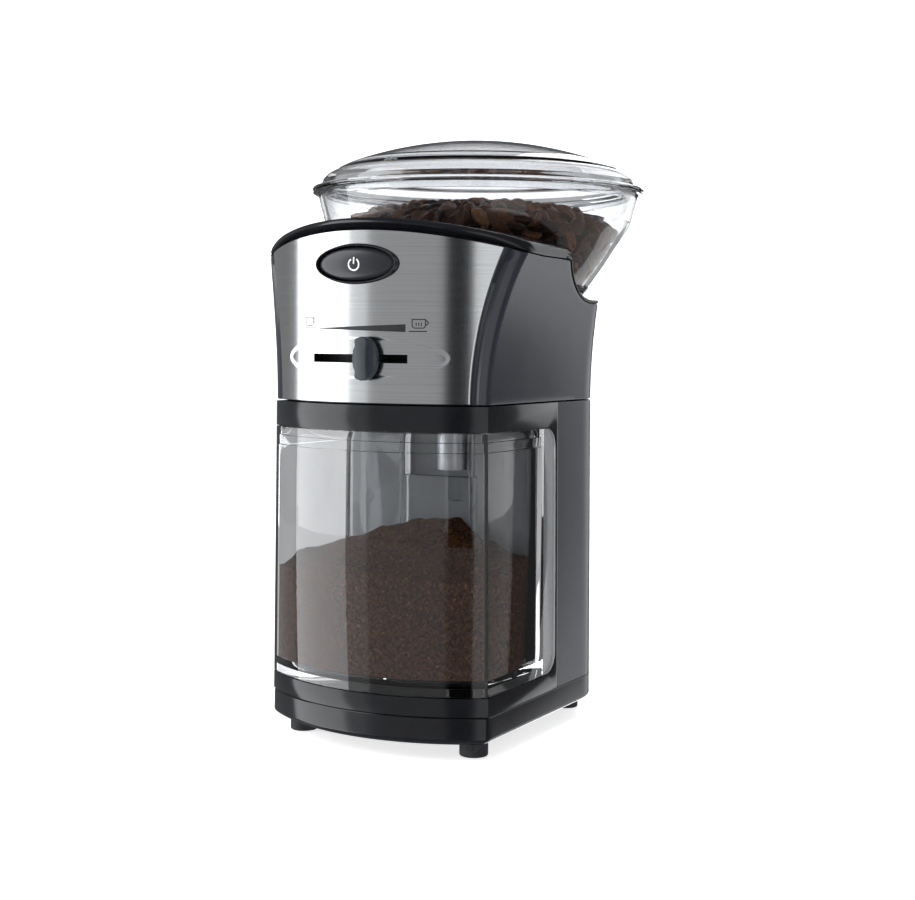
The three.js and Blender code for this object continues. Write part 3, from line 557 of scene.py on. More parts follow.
coat(tree, real, given.outputs["Plating"], result)
screws = grow(holder, tree, {"Screw": head, "Plating": zinc}, "base_screws")
bpy.data.objects.remove(head)
base_screws = [foot.replace("foot", "base_screw") for foot in feet]
add_piece(screws, "housing", "screw_steel", None, *base_screws)

# ---- lower frame ----
# One C-shaped moulding of black gloss ABS: floor, column and ceiling of the container's bay.
# The column's front wall, behind the container, is sprayed a lighter grey.
ARC_CUTS = 3
ARC_LEAST = 70  # a point is on the bow when it is at least this far from its axis
ARC_SPREAD = 0.06  # and its chord's ends differ by no more than this
CHORD_LEAST = 3
BAY_WALL_Y = (-22, -8)
BAY_WALL_HALF = 49
BAY_WALL_OVER = 2  # the grey goes on past the container's top and bottom


def merged_copy(source, name):
    """A copy of a CAD mesh with its loose triangles joined and its flat faces made whole."""
    shape = bmesh.new()
    shape.from_mesh(nodes[source].data)
    bmesh.ops.remove_doubles(shape, verts=shape.verts, dist=2e-6)
    bmesh.ops.dissolve_limit(shape, angle_limit=math.radians(0.6), verts=shape.verts, edges=shape.edges)
    mesh = bpy.data.meshes.new(name)
    shape.to_mesh(mesh)
    shape.free()
    return mesh


def draft(z):
    return 1 - SIDE_DRAFT * min(z / MM - SEAM_Z, 0) / HALF_WIDTH


def undrafted(point):
    return Vector((point.x / MM / draft(point.z), point.y / MM - ARC_Y))


def round_front(mesh):
    """Divides the chords of the bowed front and moves the new points out to the arc."""
    shape = bmesh.new()
    shape.from_mesh(mesh)
    layer = shape.verts.layers.float.new("arc_radius")
    chords = []
    for edge in shape.edges:
        a, b = (undrafted(v.co) for v in edge.verts)
        level = abs(edge.verts[0].co.z - edge.verts[1].co.z) < 2e-5
        on_arc = abs(a.length - b.length) < ARC_SPREAD and min(a.length, b.length) > ARC_LEAST and a.y < 0
        if level and on_arc and (a - b).length > CHORD_LEAST:
            chords.append(edge)
            for vert in edge.verts:
                vert[layer] = (a.length + b.length) / 2
    before = set(shape.verts)
    bmesh.ops.subdivide_edges(shape, edges=chords, cuts=ARC_CUTS, use_grid_fill=True)
    for vert in shape.verts:
        if vert not in before and vert[layer] > ARC_LEAST:
            flat = undrafted(vert.co).normalized() * vert[layer]
            vert.co.x, vert.co.y = flat.x * draft(vert.co.z) * MM, (flat.y + ARC_Y) * MM
    shape.verts.layers.float.remove(layer)
    shape.to_mesh(mesh)
    shape.free()


def bevelled(mesh, name, width, segments=2, angle=35):
    thing = make_object(name + "_rough", mesh)
    modifier = thing.modifiers.new("edges", "BEVEL")
    modifier.width = width * MM
    modifier.segments = segments
    modifier.limit_method = "ANGLE"
    modifier.angle_limit = math.radians(angle)
    modifier.miter_outer = "MITER_ARC"
    return freeze(thing, name)


frame_mesh = merged_copy("lower_frame", "bay_frame")
round_front(frame_mesh)
bay_frame = bevelled(frame_mesh, "bay_frame", 0.4)
wall_grey = moulded("bay_wall_grey", (0.42, 0.44, 0.465), (0.46, 0.48, 0.505), 0.34, 0.46)
add_piece(bay_frame, "housing", "black_gloss", black_gloss, "lower_frame")
bay_frame.data.materials.append(wall_grey)
bay_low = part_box("container")[0].z - BAY_WALL_OVER * MM
bay_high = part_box("container")[1].z + BAY_WALL_OVER * MM
for face in bay_frame.data.polygons:
    x, y, z = face.center
    in_bay = bay_low < z < bay_high and abs(x) < BAY_WALL_HALF * MM
    on_column = BAY_WALL_Y[0] * MM < y < BAY_WALL_Y[1] * MM
    upright = face.normal.y < -0.5 or abs(face.normal.x) > 0.5
    if in_bay and on_column and upright:
        face.material_index = 1

# ---- rear cover and cord gland ----
# A U-shaped shell of satin grey ABS round the motor, clipped to the frame along two upright
# edges. The rubber gland for the mains cord sits low in its back.
satin_grey = moulded("satin_grey_abs", (0.020, 0.022, 0.029), (0.024, 0.026, 0.034), 0.15, 0.17)
cover_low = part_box("rear_cover")[0].z / MM
cover_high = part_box("rear_cover")[1].z / MM
cover_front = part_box("rear_cover")[0].y / MM
cover_profile = soft([(0, cover_low), (0, cover_high), (WALL, cover_high), (WALL, cover_low)], GROOVE)


def rear_outline(inset):
    points = [(x, y) for x, y in outline(inset) if y > cover_front + 0.5]
    half = HALF_WIDTH - inset
    return [(half, cover_front), *points, (-half, cover_front)]


cover_rings = [[swell(x, y, z) for x, y in rear_outline(inset)] for inset, z in cover_profile]
rear_shell = skin("rear_shell", cover_rings, around=False, along=True)
GLAND_Z = (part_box("cord_gland")[0].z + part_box("cord_gland")[1].z) / 2 / MM
GLAND_HOLE = 6
gland_hole = ellipse(0, GLAND_Z, GLAND_HOLE, GLAND_HOLE, 40)
rear_shell = carve(rear_shell, [prism(gland_hole, 50, 70, "Y")])
add_piece(rear_shell, "housing", "grey_satin", satin_grey, "rear_cover")

gland = bevelled(merged_copy("cord_gland", "gland"), "gland", 0.5)
add_piece(gland, "housing", "foot_rubber", rubber, "cord_gland")

# ---- head housing ----
# The flared shell of the head, in the same satin grey ABS. Its front is cut back for the
# steel faceplate, and its top edge sweeps down in a scoop to the shelf under the hopper.
SIDE_TOP = 205.4
SHELF_TOP = 187.8
SCOOP_START = -13.5
SCOOP_END = 23.5
SCOOP_BEND = 17  # behind its start, where the curve turns
ARCH_CENTRE = 215.0
ARCH_RADIUS = 231.0
FACE_HALF = 46.4
FACE_THICK = 1.0
SEAT_GAP = 0.3  # round the steel plate: behind it, above it and, wider, beside it
SEAT_SIDE = 0.4
HEAD_WALL = 3.3
ARCH_REAR = 22  # the arch of the front fades out this far behind the corners
ARCH_FADE = 20
FRONT_CUT = (-95, -70)  # from before to behind the front wall
head_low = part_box("head_housing")[0].z / MM
BUTTON_Z = 201.2
SLOT_Z = 163.1


def scoop_z(y, lift=0.0):
    """Height of the side panels' top edge: level, then a curve down to the shelf."""
    start_y, start_z = SCOOP_START + lift * 0.7, SIDE_TOP + lift
    end_z = SHELF_TOP + lift
    bend_y = SCOOP_START + SCOOP_BEND + lift / 2
    if y <= start_y:
        return start_z
    if y >= SCOOP_END:
        return end_z
    a, b, c = start_y - 2 * bend_y + SCOOP_END, 2 * (bend_y - start_y), start_y - y
    t = (-b + math.sqrt(max(b * b - 4 * a * c, 0))) / (2 * a)
    return start_z * (1 - t) ** 2 + end_z * (1 - (1 - t) ** 2)


def arch_z(x, centre, radius):
    return centre - radius + math.sqrt(radius ** 2 - x ** 2)


def head_top(x, y):
    """Height of the housing's top edge over a point of the plan."""
    level = scoop_z(y)
    ahead_share = min(max((CORNER_Y + ARCH_REAR - y) / ARCH_FADE, 0), 1)
    arch = arch_z(widened(x, level), ARCH_CENTRE, ARCH_RADIUS) - SEAT_GAP
    return level + max(arch - level, 0) * ahead_share


def head_outline(inset):
    """The plan with dense points where the scoop falls, and the seat of the faceplate."""
    seat = FACE_THICK + SEAT_GAP
    points = []
    for x, y in outline(inset, side_count=60):
        if inset < seat and abs(x) < FACE_HALF + SEAT_SIDE and y < front_y(x, inset) + 0.01:
            y = front_y(x, seat)
        points.append((x, y))
    return points


head_profile = [(HEAD_WALL, 0.0), (0.5, 0.0), (0.14, 0.003), (0.0, 0.008)]
head_profile += [(0.0, t) for t in spread(0.05, 0.985, 26)]
head_profile += [(0.06, 0.994), (0.22, 0.998), (0.5, 1.0), (HEAD_WALL, 1.0)]
head_profile += [(HEAD_WALL, t) for t in spread(0.95, 0.05, 12)]
head_rings = []
for inset, share in head_profile:
    ring = []
    for x, y in head_outline(inset):
        ring.append(swell(x, y, head_low + share * (head_top(x, y) - head_low)))
    head_rings.append(ring)
head_shell = skin("head_shell", head_rings, along=True)
dial_z = (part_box("fineness_dial")[0].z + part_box("fineness_dial")[1].z) / 2 / MM
SLOT_HALF = (22.6, 1.75)
BUTTON_HALF = (19.5, 8.2)
BUTTON_ROOM = 1.2
SLOT_ROOM = (24, 2.6)
DIAL_HOLE = 4.4
DIAL_CUT = (-80, -30)
slot_room = rectangle(-SLOT_ROOM[0], SLOT_ROOM[0], SLOT_Z - SLOT_ROOM[1], SLOT_Z + SLOT_ROOM[1])
head_shell = carve(head_shell, [
    prism(ellipse(0, BUTTON_Z, *(half + BUTTON_ROOM for half in BUTTON_HALF)), *FRONT_CUT, "Y"),
    prism(slot_room, *FRONT_CUT, "Y"),
    prism(ellipse(MILL_Y, dial_z, DIAL_HOLE, DIAL_HOLE, 32), *DIAL_CUT, "X"),
])
add_piece(head_shell, "housing", "grey_satin", satin_grey, "head_housing")

# ---- faceplate ----
# One bowed sheet of stainless steel, brushed from side to side. It has a pressed oval round
# the slider's slot, and its two upright edges are turned in.
PRESS_Z = SLOT_Z + 0.3
PRESS_HALF = (38.5, 8.4)
PRESS_DEPTH = 0.45
PRESS_WALL = 0.8
EDGE_ROLL = 0.8
plate_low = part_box("faceplate")[0].z / MM
PLATE_COLUMNS = 230
PLATE_ROWS = 140


def plate_top(x):
    top = ARCH_CENTRE
    for _ in range(4):
        top = arch_z(widened(x, top), ARCH_CENTRE - SEAT_GAP, ARCH_RADIUS)
    return top


def press_depth(x, z):
    a, b = x / PRESS_HALF[0], (z - PRESS_Z) / PRESS_HALF[1]
    level = math.hypot(a, b)
    if level < 0.2:  # well inside, where the slope below can't be worked out
        return PRESS_DEPTH
    slope = math.hypot(a / PRESS_HALF[0], b / PRESS_HALF[1]) / level
    share = min(max(-(level - 1) / slope / PRESS_WALL, 0), 1)
    return PRESS_DEPTH * share * share * (3 - 2 * share)


def plate_layer(back_off):
    rows = []
    for row in range(PLATE_ROWS + 1):
        line = []
        for x in spread(-FACE_HALF, FACE_HALF, PLATE_COLUMNS + 1):
            z = plate_low + row / PLATE_ROWS * (plate_top(x) - plate_low)
            wide = widened(x, z)
            roll = max(abs(x) - (FACE_HALF - EDGE_ROLL), 0)
            turned_in = EDGE_ROLL - math.sqrt(EDGE_ROLL ** 2 - roll ** 2)
            depth = press_depth(wide, z) + turned_in + back_off
            angle = math.asin(wide / FRONT_RADIUS)
            radius = FRONT_RADIUS - depth
            line.append((radius * math.sin(angle), ARC_Y - radius * math.cos(angle), z))
        rows.append(line)
    return rows


outer_rows, inner_rows = plate_layer(0.0), plate_layer(FACE_THICK - 0.1)
plate_rings = [near + far[::-1] for near, far in zip(outer_rows, inner_rows)]
plate = skin("steel_faceplate", plate_rings, angle=50)
slider_slot = rectangle(-SLOT_HALF[0], SLOT_HALF[0], SLOT_Z - SLOT_HALF[1], SLOT_Z + SLOT_HALF[1])
plate = carve(plate, [prism(ellipse(0, BUTTON_Z, *BUTTON_HALF, 96), *FRONT_CUT, "Y"),
                      prism(slider_slot, *FRONT_CUT, "Y")], angle=50)

steel = Finish("brushed_stainless", Metallic=1.0, Anisotropic=0.6, Anisotropic_Rotation=0.25)
streaks = steel.noise(1.0, 3, 0.6, stretch=(14, 14, 4200))
fine_streaks = steel.noise(1.0, 2, 0.7, stretch=(60, 60, 9000))
steel.drive("Base Color", steel.ramp(streaks, [(0.25, (0.52, 0.53, 0.54)), (0.75, (0.66, 0.67, 0.68))]))
steel.drive("Roughness", steel.ramp(fine_streaks, [(0.2, 0.17), (0.8, 0.23)]))
steel.bump(streaks, 0.004, 0.5)
tangent = node(steel.tree, "ShaderNodeTangent", direction_type="RADIAL", axis="Z")
steel.drive("Tangent", tangent.outputs["Tangent"])
add_piece(plate, "housing", "brushed_plate", steel.material, "faceplate")

# ---- printed marks ----
# Screen-printed on the steel: a small cup and a large cup, a wedge between them, and a line
# under each cup. The start button carries a white power symbol.
INK_PROUD = 0.04


def print_marks(name, shapes, depth_at):
    """Lays flat closed strips, given as two edges of (x, z) points, on a curved surface."""
    points, faces = [], []
    for near_edge, far_edge in shapes:
        base = len(points)
        for pair in zip(near_edge, far_edge):
            points += [(x, depth_at(x, z) - INK_PROUD, z) for x, z in pair]
        for i in range(len(near_edge) - 1):
            k = base + 2 * i
            faces.append((k, k + 1, k + 3, k + 2))
    mesh = plain_mesh(name, [tuple(c * MM for c in p) for p in points], faces)
    shape = bmesh.new()
    shape.from_mesh(mesh)
    bmesh.ops.recalc_face_normals(shape, faces=shape.faces)
    for face in shape.faces:
        if face.normal.y > 0:
            face.normal_flip()
    shape.to_mesh(mesh)
    shape.free()
    return make_object(name, mesh)


def line_strip(points, width):
    """Both edges of a pen stroke of that width along the points."""
    near_edge, far_edge = [], []
    for i, point in enumerate(points):
        before = Vector(points[max(i - 1, 0)])
        after = Vector(points[min(i + 1, len(points) - 1)])
        along = (after - before).normalized()
        side = Vector((-along.y, along.x)) * width / 2
        near_edge.append((point[0] + side.x, point[1] + side.y))
        far_edge.append((point[0] - side.x, point[1] - side.y))
    return near_edge, far_edge


def arc_points(x, z, radius_x, radius_z, first, last, count=20):
    return [(x + radius_x * math.cos(math.radians(a)), z + radius_z * math.sin(math.radians(a)))
            for a in spread(first, last, count)]


def cup(left, low, wide, high, pen):
    """A mug from the side: open box with rounded foot and its handle on the right."""
    corner = 0.28 * high
    body = [(left, low + high), (left, low + high * 0.6), (left + 0.1, low + corner)]
    body += arc_points(left + corner + 0.1, low + corner, corner, corner, 190, 270, 6)
    body += arc_points(left + wide - corner - 0.1, low + corner, corner, corner, 270, 350, 6)
    body += [(left + wide, low + high * 0.6), (left + wide, low + high), (left + wide, low + high)]
    top = [(left - pen / 2, low + high), (left + wide / 2, low + high), (left + wide + pen / 2, low + high)]
    grip = arc_points(left + wide, low + 0.62 * high, 0.3 * high, 0.25 * high, 95, -95, 12)
    return [line_strip(body, pen), line_strip(top, pen), line_strip(grip, pen)]


ink = moulded("printed_ink", (0.012, 0.013, 0.016), (0.02, 0.021, 0.024), 0.5, 0.6)
pale_ink = moulded("pale_printed_ink", (0.05, 0.052, 0.06), (0.07, 0.072, 0.08), 0.5, 0.6)
white_ink = moulded("white_ink", (0.8, 0.8, 0.8), (0.9, 0.9, 0.9), 0.5, 0.6)
WEDGE_X = (-19.5, 22)
WEDGE_TOP = (175.35, 177.0)
WEDGE_BOTTOM = (175.1, 173.9)
wedge = [list(zip(spread(*WEDGE_X, 24), spread(*edge, 24))) for edge in (WEDGE_TOP, WEDGE_BOTTOM)]
scale = [wedge, *cup(24.6, 175.5, 5.2, 3.4, 0.42)]
scale.append(line_strip([(x, 174.2) for x in spread(23.3, 30.4, 8)], 0.45))
for x in (26.2, 27.2, 28.2):
    scale.append(line_strip([(x, 176.3), (x, 177.0), (x, 177.7)], 0.4))
small_cup = cup(-27.2, 176.4, 4.6, 3.4, 0.4)
small_cup.append(line_strip([(x, 175.4) for x in spread(-28.2, -21.0, 8)], 0.36))
small_cup.append(line_strip([(-24.9, 177.3), (-24.9, 177.8), (-24.9, 178.3)], 0.4))
for name, shapes, tone in (("printed_scale", scale, ink), ("printed_small_cup", small_cup, pale_ink)):
    add_piece(print_marks(name, shapes, lambda x, z: front_y(x)), "housing", None, tone)

# ---- top cover ----
# Black gloss ABS: the crown, a narrow rounded band over the faceplate, and the lip plate
# along the scoop. The hopper's room is cut out of both.
CROWN_CENTRE = 219.9
CROWN_RADIUS = 205.0
CROWN_END = -13.9  # the raised front part stops here, just before the scoop
CROWN_FOOT = ((3.4, 0.0), (0.5, 0.0), (0.1, 0.15), (0.0, 0.5))
CROWN_ROUND = ((0.0, 3.4), (0.1, 2.0), (0.45, 1.05), (1.1, 0.4), (2.1, 0.06), (3.4, 0.0))
LIP_OUT = 0.25
COVER_GAP = 0.3


def front_part(inset, back_y, corner_reach, back_line, arc_count=47):
    """The plan ahead of back_y, from the left front corner round, closed by back_line."""
    ahead_part = [p for p in outline(inset, arc_count, 60) if p[1] < back_y]
    split = CORNER_Y + corner_reach
    front = sorted((p for p in ahead_part if p[1] <= split), key=lambda p: p[0])
    right = [p for p in ahead_part if p[1] > split and p[0] > 0]
    left = [p for p in ahead_part if p[1] > split and p[0] < 0]
    return front + right + back_line + left


def crown_outline(inset):
    back_y = CROWN_END - inset
    half = HALF_WIDTH - inset
    return front_part(inset, back_y - 0.4, 2, [(x, back_y) for x in spread(half, -half, 40)])


def crown_height(x):
    return arch_z(x * (1 + FLARE_FRONT / HALF_WIDTH), CROWN_CENTRE, CROWN_RADIUS)


crown_rings = []
for inset, rise in CROWN_FOOT:
    crown_rings.append([swell(x, y, head_top(x, y) + COVER_GAP + rise) for x, y in crown_outline(inset)])
for inset, drop in CROWN_ROUND:
    crown_rings.append([swell(x, y, crown_height(x) - drop) for x, y in crown_outline(inset)])
middle_y = (FRONT_Y + CROWN_END) / 2
for share in (0.8, 0.5, 0.2, 0.004):
    crown_rings.append([swell(x, middle_y + share * (y - middle_y), crown_height(x))
                        for x, y in crown_outline(CROWN_ROUND[-1][0])])
crown = skin("crown_and_shelf", crown_rings)

LIP_TOP = 1.3
# each: inset, how far the ring is narrowed, height over the scoop
lip_profile = [(3, 0.004, 0.0), (3, 0.6, 0.0), (1, 1.0, 0.0), (0.0, 1.0, 0.0), (-LIP_OUT, 1.0, 0.3),
               (-LIP_OUT, 1.0, 0.75), (0.05, 1.0, 1.15), (0.5, 1.0, LIP_TOP), (3, 1.0, LIP_TOP),
               (3, 0.6, LIP_TOP), (3, 0.004, LIP_TOP)]
lip_rings = []
for inset, narrowed, rise in lip_profile:
    lip_rings.append([swell(x * narrowed, y, scoop_z(y, COVER_GAP) + rise)
                      for x, y in outline(inset, side_count=60)])
lip = skin("lip_plate", lip_rings)
seat_z = SHELF_TOP + 1.7
bowl_room = [(0.01, 150), (33.2, 150), (33.2, seat_z), (52.8, seat_z), (52.8, 195.4), (65.2, 214.0),
             (70.5, 222.1), (72, 240), (0.01, 240)]
crown = carve(crown, [lathe("cutter", bowl_room, count=128)])
under_crown = rectangle(-90, 90, -100, CROWN_END - 0.8)
lip = carve(lip, [lathe("cutter", bowl_room, count=128), prism(under_crown, 150, 300, "Z")])
add_piece(crown, "housing", "black_gloss", black_gloss, "top_cover")
add_piece(lip, "housing", "black_gloss", black_gloss)

# ---- hopper, collar and lid ----
# Injection-moulded clear SAN bowl with a black collar ring under it, and a domed clear lid
# that drops into its rim.
def clear_plastic(name, thin, thick):
    """Clear moulding with a faint smoky tint and flow marks."""
    return clouded(name, (25, 2, thick, thin), (60, 3, 0.012, 0.03, 0.35, 0.8),
                   Transmission_Weight=1.0, IOR=1.49, Specular_IOR_Level=0.3).material


clear_hopper = clear_plastic("clear_san_hopper", (0.93, 0.94, 0.955), (0.90, 0.915, 0.93))
clear_lid = clear_plastic("clear_san_lid", (0.84, 0.85, 0.865), (0.80, 0.81, 0.825))
clear_tub = clear_plastic("clear_san_container", (0.93, 0.94, 0.95), (0.90, 0.91, 0.925))

hopper_low, hopper_high = (corner.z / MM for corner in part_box("hopper"))
bowl = [(31.5, 189.9), (46.5, 192.2), (50.4, 194.2), (57.1, 203.4), (63.9, 214.0),
        (69.2, 222.1), (70.6, 226.6), (73.1, 236.2)]
BOWL_WALL = 2.3
NECK = (25, 22.6)  # outer and inner radius of the throat


def smooth_line(points, steps=6):
    """A Catmull-Rom curve through the points."""
    line = []
    padded = [points[0], *points, points[-1]]
    for a, b, c, d in zip(padded, padded[1:], padded[2:], padded[3:]):
        for step in range(steps):
            t = step / steps
            line.append(tuple(
                0.5 * (2 * q + (r - p) * t + (2 * p - 5 * q + 4 * r - s) * t * t
                       + (3 * q - p - 3 * r + s) * t ** 3)
                for p, q, r, s in zip(a, b, c, d)))
    return [*line, points[-1]]


outer_curve = smooth_line(bowl[2:])
inner_curve = [(r - BOWL_WALL, z + 0.9) for r, z in outer_curve[:-1]]
inner_curve.append((bowl[-1][0] - BOWL_WALL, hopper_high))
bowl_profile = [(NECK[0], hopper_low), (NECK[0], 176), *bowl[:2], *outer_curve, (73.4, 236.7),
                (75.1, 236.8), (75.5, 237.1), (75.2, 237.6), (74.6, hopper_high), *reversed(inner_curve),
                (45.2, 194.6), (30.6, 192.4), (NECK[1], 176.6), (NECK[1], hopper_low)]
hopper_bowl = lathe("hopper_bowl", bowl_profile, count=128)
add_piece(hopper_bowl, "hopper", "clear_plastic", clear_hopper, "hopper", "hopper_funnel")

collar_profile = [(34, 189.7), (45.6, 189.7), (49.4, 192), (51.6, 195.2), (50.9, 194.5), (50.6, 193.7),
                  (46.6, 191.8), (34, 189.95)]
add_piece(lathe("collar_ring", collar_profile), "hopper", "black_gloss", black_gloss, "hopper_collar")

DOME = 172.0
lid_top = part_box("hopper_lid")[1].z / MM
LID_WALL = 2.2
lid_shell = [(r, lid_top - DOME + math.sqrt(DOME ** 2 - r ** 2)) for r in spread(0.01, 60, 24)]
lid_profile = [*lid_shell, (64.0, 248.0), (64.6, 247.0), (66.4, 246.5), (69.0, 245.1), (71.0, 242.9),
               (71.7, 240.6), (72.1, 239.7), (75.3, 239.3), (75.7, 238.7), (75.3, 238.1), (69.7, 238.1),
               (69.7, 234.9), (69.3, 234.6), (68.0, 234.6), (67.6, 234.9), (67.6, 241.4), (65.4, 244.2),
               (63.0, 245.6)]
lid_profile += [(r, z - LID_WALL) for r, z in reversed(lid_shell)]
add_piece(lathe("lid_dome", lid_profile, count=128), "lid", "clear_plastic", clear_lid, "hopper_lid")

# ---- beans ----
# Roasted coffee beans heaped in the hopper. One bean shape is scattered over a dark core
# that fills the space under them, each bean turned, sized and toned at random.
BEAN_HALF = (5.4, 4.1, 2.9)
BEAN_RINGS = 7
BEAN_SIDES = 8
BEAN_SPACING = 5.0
BEAN_SIZES = (0.88, 1.12)
BEAN_TILT = (3.1, 0.35, 3.1)  # radians either way, about the length, the width and upright
bean_rings = []
for step in range(BEAN_RINGS):
    along = -0.96 + 1.92 * step / (BEAN_RINGS - 1)
    size = math.sqrt(1 - along ** 2)
    ring = []
    for side in range(BEAN_SIDES):
        angle = side * math.tau / BEAN_SIDES
        y, z = math.cos(angle), math.sin(angle)
        if z < -0.9:
            z = -0.1  # the groove along the flat side
        elif z < 0:
            z *= 0.75
        ring.append((along * BEAN_HALF[0], y * size * BEAN_HALF[1], z * size * BEAN_HALF[2]))
    bean_rings.append(ring)
bean = skin("bean_pattern", bean_rings, angle=80)

core_profile = [(0.01, 231.0), (20, 230.6), (36, 229.0), (48, 226.5), (57, 222.5), (60.3, 219.5),
                (56.6, 214), (49.8, 203.4), (44, 198), (0.01, 198)]
core = lathe("bean_heap", core_profile, count=48)
tree, given, result = new_tree("bean_scatter", [
    ("Bean", "NodeSocketObject"), ("Roast", "NodeSocketMaterial"), ("Spacing", "NodeSocketFloat"),
    ("Seed", "NodeSocketInt")])
scatter = node(tree, "GeometryNodeDistributePointsOnFaces", [
    ("Mesh", given), ("Distance Min", given.outputs["Spacing"]), ("Seed", given.outputs["Seed"]),
    ("Density Max", 200000)], distribute_method="POISSON")
any_turn = node(tree, "FunctionNodeRandomValue", [
    ("Min", tuple(-tilt for tilt in BEAN_TILT)), ("Max", BEAN_TILT)], data_type="FLOAT_VECTOR")
to_turn = node(tree, "FunctionNodeEulerToRotation", [("Euler", any_turn)])
turned = node(tree, "FunctionNodeRotateRotation", [
    ("Rotation", scatter.outputs["Rotation"]), ("Rotate By", to_turn)], rotation_space="LOCAL")
any_size = node(tree, "FunctionNodeRandomValue", [
    ("Min", BEAN_SIZES[0]), ("Max", BEAN_SIZES[1])], data_type="FLOAT")
info = node(tree, "GeometryNodeObjectInfo", [("Object", given.outputs["Bean"]), ("As Instance", True)])
laid = node(tree, "GeometryNodeInstanceOnPoints", [
    ("Points", scatter), ("Instance", info.outputs["Geometry"]), ("Rotation", turned),
    ("Scale", any_size)])
any_tone = node(tree, "FunctionNodeRandomValue", data_type="FLOAT")
toned = node(tree, "GeometryNodeStoreNamedAttribute", [
    ("Geometry", laid), ("Name", "tone"), ("Value", any_tone)], data_type="FLOAT", domain="INSTANCE")
real = node(tree, "GeometryNodeRealizeInstances", [("Geometry", toned)])
heap = node(tree, "GeometryNodeJoinGeometry", [("Geometry", given), ("Geometry", real)])
coat(tree, heap, given.outputs["Roast"], result)

roast = Finish("roasted_bean", Specular_IOR_Level=0.3)
tone = node(roast.tree, "ShaderNodeAttribute", attribute_name="tone")
toned_brown = roast.ramp(tone.outputs["Fac"], [
    (0.0, (0.05, 0.02, 0.013)), (0.45, (0.14, 0.056, 0.027)), (0.8, (0.24, 0.10, 0.043)),
    (1.0, (0.38, 0.17, 0.065))])
blotch = roast.ramp(roast.noise(420, 4), [(0.3, (0.45, 0.45, 0.45)), (0.7, (1, 1, 1))])
mix = node(roast.tree, "ShaderNodeMix", [("Factor", 1.0), ("A", toned_brown), ("B", blotch)],
           data_type="RGBA", blend_type="MULTIPLY")
roast.drive("Base Color", next(s for s in mix.outputs if s.enabled))
roast.vary("Roughness", 300, 3, 0.42, 0.58)
roast.bump(roast.noise(900, 3), 0.12, 0.6)
bean_values = {"Bean": bean, "Roast": roast.material, "Spacing": BEAN_SPACING * MM, "Seed": 4}
beans = grow(core, tree, bean_values, "coffee_beans")
bpy.data.objects.remove(bean)
add_piece(beans, "hopper", None, None)

# ---- container ----
# A clear SAN drawer for the ground coffee. Its bowed front is flush with the body, and a
# notch in its rear wall clears the outlet as it slides home.
container_mesh = merged_copy("container", "clear_container")
round_front(container_mesh)
clear_container = bevelled(container_mesh, "clear_container", 0.8, 3)
add_piece(clear_container, "container", "clear_plastic", clear_tub, "container")

# ---- ground coffee ----
# The ground coffee lies in the container as one loose mound, highest under the outlet.
MOUND = ((9, -22, 97), (-12, -22, 92), (-24, -22, 88), (-38, -22, 81), (-47, -20, 76), (25, -22, 84),
         (41, -22, 78), (48, -20, 77), (-48, -46, 77), (-44, -68, 71), (48, -38, 79), (46, -62, 72),
         (-30, -79, 73), (-12, -84, 79), (10, -85, 75), (30, -80, 73), (0, -50, 86), (-25, -50, 81),
         (25, -50, 79))
MOUND_BLEND = 900  # larger runs the heights more into each other
WAVES_PER_MM = 0.09
WAVE_HIGH = 1.6
TUB_INSET = 2.95
TUB_BACK = (-17.8, -20.85)  # inside of its rear wall, beside the nose of the column and on it
NOSE_HALF = 19.3
TUB_FLOOR = 33.2
tub_half = HALF_WIDTH - TUB_INSET
rear_edge = [(x, TUB_BACK[0]) for x in spread(tub_half, NOSE_HALF, 16)]
rear_edge += [(x, TUB_BACK[1]) for x in spread(NOSE_HALF, -NOSE_HALF, 20)]
rear_edge += [(x, TUB_BACK[0]) for x in spread(-NOSE_HALF, -tub_half, 16)]
mound_outline = front_part(TUB_INSET, TUB_BACK[0] - 0.5, 3, rear_edge, 61)


def mound_z(x, y):
    """Weighs the MOUND heights by nearness and adds the unevenness of loose powder."""
    weights = [1 / (((x - a) ** 2 + (y - b) ** 2) ** 1.5 + MOUND_BLEND) for a, b, _ in MOUND]
    level = sum(w * c for w, (_, _, c) in zip(weights, MOUND)) / sum(weights)
    uneven = noise.fractal(Vector((x, y, 3)) * WAVES_PER_MM, 0.9, 2.0, 4) * WAVE_HIGH
    return level + uneven


MOUND_MIDDLE = (2, -46)
MOUND_SHARES = (1.0, 0.985, 0.96, 0.93, 0.9, 0.86, 0.82, 0.78, 0.74, 0.7, 0.65, 0.6, 0.55, 0.5, 0.45,
                0.4, 0.35, 0.3, 0.25, 0.2, 0.15, 0.1, 0.05, 0.01)
mound_rings = [[swell(x, y, TUB_FLOOR) for x, y in mound_outline]]
for share in MOUND_SHARES:
    ring = []
    for x, y in mound_outline:
        px = MOUND_MIDDLE[0] + share * (x - MOUND_MIDDLE[0])
        py = MOUND_MIDDLE[1] + share * (y - MOUND_MIDDLE[1])
        ring.append(swell(px, py, mound_z(px, py)))
    mound_rings.append(ring)
mound = skin("ground_coffee", mound_rings, angle=60)
powder = Finish("ground_coffee_powder", Roughness=0.9, Specular_IOR_Level=0.04)
grains = powder.ramp(powder.cells(1300, "Color"), [
    (0.0, (0.035, 0.012, 0.006)), (0.5, (0.095, 0.034, 0.014)), (0.85, (0.17, 0.066, 0.027)),
    (1.0, (0.32, 0.15, 0.06))])
powder.drive("Base Color", grains)
powder.bump(powder.noise(500, 5, 0.7), 0.9, 0.9)
powder.bump(powder.cells(1300), 0.3, 0.7)
add_piece(mound, "container", None, powder.material)

